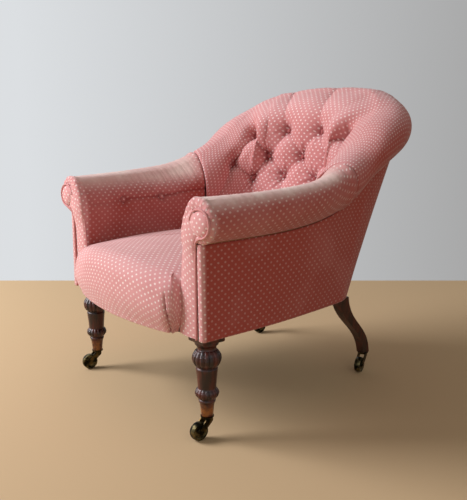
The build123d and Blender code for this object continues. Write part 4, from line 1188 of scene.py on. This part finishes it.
# %% The turner's profile
# height over the floor and radius, from the castor's cap to under the square
LEG_PROFILE = [
    (50, 12.4), (52, 12.7), (70, 14.6), (80, 15.9), (82, 17.6), (85.5, 18.6), (88, 17.4),
    (89.5, 16.4), (91, 20.0), (94, 22.4), (98, 25.2), (102, 26.0), (106, 25.2), (110, 22.6),
    (113, 19.8), (115, 19.6), (130, 20.6), (145, 22.1), (156, 23.4), (158, 22.6), (159.5, 21.2),
    (161, 22.4), (165, 26.2), (171, 30.0), (179, 31.5), (187, 30.0), (193, 26.4), (197, 22.6),
    (198.5, 20.8), (202, 19.8), (206, 21.2), (209, 24.2), (211, 25.4), (214.5, 25.6), (216, 25.2),
]


# of the reeds: the height of their middle, half their length and their depth
BULB_AT, BULB_HALF, BULB_CUT = 179.0, 19, 3.2
RING_AT, RING_HALF, RING_CUT = 102.0, 12, 2.2


def reed_depth(z):
    """How deep the carver's gouge goes at a height."""
    bulb = np.clip(1 - ((z - BULB_AT) / BULB_HALF)**2, 0, 1)**0.5
    ring = np.clip(1 - ((z - RING_AT) / RING_HALF)**2, 0, 1)**0.5
    return BULB_CUT * bulb + RING_CUT * ring


print("the gouge goes", reed_depth(BULB_AT), "mm into the bulb and", reed_depth(RING_AT),
      "mm into the ring")

# %% Front legs
LEG_X, LEG_Y = 254.0, -291.0
REEDS, LEG_SIDES = 16, 192
HALF_SQUARE, CORNER = 28, 38.2  # the square's half side, and where its corners are rounded off
# levels of the square and how far in each is
SQUARE = ((216.2, 1.5), (217, 0.6), (218.2, 0.0), (240, 0.0), (289, 0.0), (290, 0.8))


def front_leg(side, name):
    """The turning, carved, with its square above."""
    heights, radii = np.array(LEG_PROFILE, float).T
    z = np.unique(np.concatenate([np.linspace(heights[0], heights[-1], 150), heights]))
    r = np.interp(z, heights, radii)
    r = 0.25 * np.roll(r, 1) + 0.5 * r + 0.25 * np.roll(r, -1)
    r[0], r[-1] = radii[0], radii[-1]
    a = np.linspace(0, 2 * np.pi, LEG_SIDES, endpoint=False)
    gouge = 1 - np.abs(np.sin(REEDS / 2 * a))**0.55
    ring = r[:, None] - reed_depth(z)[:, None] * gouge[None, :]
    square = HALF_SQUARE / np.maximum(np.abs(np.cos(a)), np.abs(np.sin(a)))
    square = np.minimum(square, CORNER)
    away = np.concatenate([ring] + [(square - inset)[None] for _, inset in SQUARE])
    level = np.concatenate([z, [at for at, _ in SQUARE]])[:, None]
    rows = len(away)
    rings = np.stack([away * np.cos(a) + LEG_X, away * np.sin(a) + LEG_Y, level + 0 * away], -1)
    foot = np.broadcast_to(smooth(-level, -86, -62) * 0.95, (rows, LEG_SIDES))
    hollow = ring.max() - np.pad(ring, ((0, len(SQUARE)), (0, 0)))
    worn = np.maximum(foot, 0.4 * smooth(hollow, 40, 50))
    faces = grid_faces(rows, LEG_SIDES, wrap=True)
    faces.append(tuple(range(LEG_SIDES)))
    faces.append(tuple((rows - 1) * LEG_SIDES + k for k in range(LEG_SIDES))[::-1])
    if side == 1:
        faces = [face[::-1] for face in faces]
    else:
        rings = mirrored(rings)
    return new_object(name, rings.reshape(-1, 3), faces, None, {"worn": worn}, MAHOGANY)


legs = {"left": front_leg(1, "carved_leg_left"), "right": front_leg(-1, "carved_leg_right")}
print("front legs:", len(legs["left"].data.vertices), "points each")

# %% [markdown]
# ## Buttons
# A button is a tin dome covered with the chair's own cloth. Thirteen hold the
# back and four the arms. Half spheres would look like balls, so a short
# profile with a flat crown is turned round each button's own facing.

# %% Covered buttons
BUTTON_RADIUS, BUTTON_HIGH = 7.0, 5.0
BUTTON_SIDES = 24
BUTTON_PROFILE = [(0.0, 1.0), (0.3, 0.97), (0.6, 0.84), (0.82, 0.62),
                  (0.95, 0.36), (1.0, 0.1), (0.9, -0.1), (0.4, -0.12)]


def dome_mesh(place, facing):
    facing = unit(np.array(facing, float))
    side = unit(np.cross(facing, (0, 0, 1.0)))
    up = np.cross(side, facing)
    verts, cloth = [], []
    for r, h in BUTTON_PROFILE:
        for a in np.linspace(0, 2 * np.pi, BUTTON_SIDES, endpoint=False):
            flat = BUTTON_RADIUS * max(r, 0.02) * (math.cos(a) * side + math.sin(a) * up)
            verts.append(np.array(place) + flat + facing * (0.3 + BUTTON_HIGH * max(h, 0)))
            # each button is cut from another place of the cloth
            cloth.append((BUTTON_RADIUS * r * math.cos(a) + 5 * place[1],
                          BUTTON_RADIUS * r * math.sin(a)))
    faces = grid_faces(len(BUTTON_PROFILE), BUTTON_SIDES, wrap=True)
    return verts, cloth, faces + [tuple(range(BUTTON_SIDES))]


def button_set(name, buttons, shade_share, material):
    verts, cloth, faces = [], [], []
    for place, facing in buttons:
        v, c, f = dome_mesh(place, facing)
        faces += [tuple(k + len(verts) for k in face) for face in f]
        verts += v
        cloth += c
    # Painted light and shade: buttons are painted half pale, and darkened by the shade share given
    # to each set
    marks = {"worn": 0, "fold": shade_share, "faded": 0.4}
    return new_object(name, verts, faces, cloth, marks, material)


# Painted shade: the back's buttons sit in their pits and are painted darker than the arms'
back_set = button_set("covered_back_buttons", list(places.values()), 0.7, CORD_COTTON)
both_arms = [(np.array(place) * (side, 1, 1), np.array(facing) * (side, 1, 1))
             for side in (1, -1) for place, facing in ARM_BUTTONS]
arm_set = button_set("covered_arm_buttons", both_arms, 0.1, COTTON)
print("buttons:", len(places) + len(both_arms))

# %% [markdown]
# ## Lining
# A thin black cloth is tacked under the rails to catch the dust, and sags a
# little between them. A filled curve would be one flat face, so rings shrink
# from the rails' line to the middle and drop as they go.

# %% Lining under the seat
LINING_CENTRE = np.array([0.0, -80.0])
LINING_LEVEL, SAG = 231.4, 5.0
LINING_RINGS, LINING_SIDES = 22, 240
LINING_CLOTH = 0.8
LINING_FRONT, LINING_HALF, LINING_BOW = -366, 262, 56  # the front edge: y, half width and bow

base = along(np.linspace(0, 2 * MIDDLE, 161))[:, :2]
front = [(x, LINING_FRONT + (x / LINING_HALF)**2 * LINING_BOW)
         for x in np.linspace(-LINING_HALF, LINING_HALF, 40)]
edge = even_loop(np.concatenate([base * 0.965, front]), LINING_SIDES)
rows = []
for f in np.linspace(1, 0.04, LINING_RINGS):
    at = LINING_CENTRE + (edge - LINING_CENTRE) * f
    sag = SAG * (1 - f**2) + 0.8 * ripple(at[:, 0] / 40, 71) * (1 - f)
    rows.append(np.concatenate([at, (LINING_LEVEL - sag)[:, None]], 1))
lining = np.concatenate(rows)
faces = grid_faces(LINING_RINGS, LINING_SIDES, wrap=True)
faces.append(tuple((LINING_RINGS - 1) * LINING_SIDES + k for k in range(LINING_SIDES)))
lining_piece = new_object("lining", lining, faces, None, {}, BLACK_CLOTH)
thicken(lining_piece, LINING_CLOTH)
print("lining sags to", round(float(lining[:, 2].min()), 1), "mm")

# %% [markdown]
# ## Finishes of the CAD parts
# The castors, the rear legs and all the hidden joinery keep their CAD shapes,
# which are exact already. They only take a finish here, by their names.

# %% Finishes
FINISHES = [
    (("castor_wheel",), WORN_SHADED_BRASS),
    (("castor_horn", "castor_plate", "castor_axle"), OLD_SHADED_BRASS),
    (("castor_screws", "seat_springs"), DARK_STEEL),
    (("rear_leg", "front_leg"), MAHOGANY),
    (("webbing",), JUTE),
    (("spring_canvas",), HESSIAN),
    (("bottom_cloth",), BLACK_CLOTH),
    (("inside", "outside", "arm_facing", "arm_buttons", "back_buttons", "scroll", "facing",
      "seat_cushion"), COTTON),
    (("",), BEECH),  # every other piece is a timber
]
for name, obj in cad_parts.items():
    finish = next(finish for starts, finish in FINISHES if name.startswith(starts))
    for slot in obj.material_slots:
        slot.material = finish
print("finished", len(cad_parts), "nodes")

# %% [markdown]
# ## What moves with what
# A piece in a scene is only a picture until it belongs somewhere. Each mesh
# made here rides on a body of the frame, and the CAD piece that it stands for
# is hidden. Parenting by hand would do the same.

# %% Pads and hard pieces
STANDS_FOR = [
    (back_pad, ["inside_back"], "dotted_fabric", 0.75),
    (seat_pad, ["seat_cushion"], "dotted_fabric", 0.85),
    (arm_pads[0], ["inside_arm_left"], "dotted_fabric", 0.75),
    (arm_pads[1], ["inside_arm_right"], "dotted_fabric", 0.75),
    (back_set, ["back_buttons"], "dotted_fabric", 1.0),
    (arm_set, ["arm_buttons"], "dotted_fabric", 1.0),
]
for name, (panel, eye, around, inner) in fronts.items():
    STANDS_FOR += [(panel, [f"arm_facing_{name}"], "dotted_fabric", 0.7),
                   (eye, [f"scroll_boss_{name}"], "dotted_fabric", 0.9),
                   (around, [f"facing_piping_{name}"], "dotted_fabric", None),
                   (inner, [], "dotted_fabric", None)]
for name, leg in legs.items():
    STANDS_FOR.append((leg, [f"front_leg_{name}"], "mahogany", None))
for piece, nodes, slot, fill in STANDS_FOR:
    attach(piece, "chair")
    if nodes:
        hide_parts(*nodes)
print("pads and hard pieces:", len(STANDS_FOR))

# %% Sheets
for node, (piece, size, area) in outsides.items():
    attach(piece, "chair")
    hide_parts(node)
    rails = [node.replace("outside_arm", "side_rail"), node.replace("outside_arm", "arm_rail")]
    rails = ["rear_rail", "back_hoop"] if node == "outside_back" else rails
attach(lining_piece, "chair")
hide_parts("bottom_cloth")
print("sheets:", len(outsides) + 1)

# %% [markdown]
# ## Floor, light and camera
# The chair stands in a room with one soft window. A wall of its own would hide
# the chair from behind, so the floor just ends where the wall would stand, and
# the world gives the wall's colour only to what looks past it: the camera, and
# rays that a polished or a clear face sends on. The chair itself is lit by two
# lamps and by the world's plain light.

# %% Floor
WALL_AT = 0.975  # metres from the chair to where the floor ends
VIEW = np.array([-0.786, 0.618])  # the camera's way over the floor
ACROSS = np.array([0.618, 0.786])


def matt_floor(colour):
    # Scrubbed boards drawn as one pale tone: sanded wood spreads the light evenly
    material, _, shader = new_material("matt_floor", Roughness=0.9)
    shader.inputs["Base Color"].default_value = linear(colour)
    return material


corners = [(*((VIEW * s + ACROSS * side) / MM), 0.0)
           for s in (-3.2, WALL_AT) for side in (-4.5, 4.5)]
floor = new_object("floor", corners, grid_faces(2, 2), None, {}, matt_floor("#cfb48c"))
print("floor ends", WALL_AT, "m behind the chair's middle")


# %% Lamps
AIM = np.array([0, 0, 0.4])


def lamp(name, place, size, power, colour):
    data = bpy.data.lights.new(name, "AREA")
    data.shape, data.size, data.size_y = "RECTANGLE", size[0], size[1]
    data.energy, data.color = power, linear(colour)[:3]
    obj = bpy.data.objects.new(name, data)
    obj.location = place
    away = np.array(place, float) - AIM
    tilt = math.atan2(math.hypot(away[0], away[1]), away[2])
    obj.rotation_euler = (tilt, 0, math.atan2(away[0], -away[1]))
    scene.collection.objects.link(obj)
    print(name, power, "W")


lamp("window", (-1.9, -2.2, 2.0), (1.7, 1.8), 126, "#fdfaff")
lamp("fill", (2.6, -0.9, 1.5), (2.0, 2.0), 7, "#fff0e8")


# %% Room
def room_light(name, light, strength, wall_lit, wall_shaded):
    """Plain light for the chair, and a wall for what looks past it, painted from lit on the
    window's side to shaded on the other: painted light and shade.
    """
    world = bpy.data.worlds.new(name)
    world.use_nodes = True
    tree = world.node_tree
    plain = tree.nodes["Background"]
    plain.inputs["Color"].default_value = linear(light)
    plain.inputs["Strength"].default_value = strength
    way = add(tree, "TexCoord", out="Generated")
    across = add(tree, "VectorMath", (way, (*ACROSS, 0.0)), out="Value", operation="DOT_PRODUCT")
    shade = add(tree, "MapRange", (across, -0.3, 0.36, 0.0, 1.0))
    colour = add(tree, "Mix", {0: shade, 6: wall_lit, 7: wall_shaded}, out=2, data_type="RGBA")
    wall = add(tree, "Background", (colour, 1.0))
    rays = add(tree, "LightPath").node.outputs
    seen = rays["Is Camera Ray"]
    for other in ("Is Glossy Ray", "Is Transmission Ray"):
        seen = add(tree, "Math", (seen, rays[other]), operation="ADD", use_clamp=True)
    both = add(tree, "MixShader", (seen, plain.outputs[0], wall))
    tree.links.new(both, tree.nodes["World Output"].inputs["Surface"])
    return world


scene.world = room_light("room", "#f2e9e0", 0.3, "#dcdfe2", "#a6a6a6")
print("world:", scene.world.name)

# %% Camera
# It stands 0.67 m high and some 1.7 m off, and looks down by 11.6 degrees
camera_data = bpy.data.cameras.new("camera")
camera_data.sensor_fit = "VERTICAL"
camera_data.sensor_height = 36
camera_data.lens = 47.16
camera = bpy.data.objects.new("camera", camera_data)
camera.location = (1.3039, -1.0457, 0.6723)
camera.rotation_euler = (math.radians(90 - 11.5882), 0, math.radians(51.8221))
scene.collection.objects.link(camera)
scene.camera = camera
print("camera:", [round(v, 2) for v in camera.location])

# %% End
print("scene built")
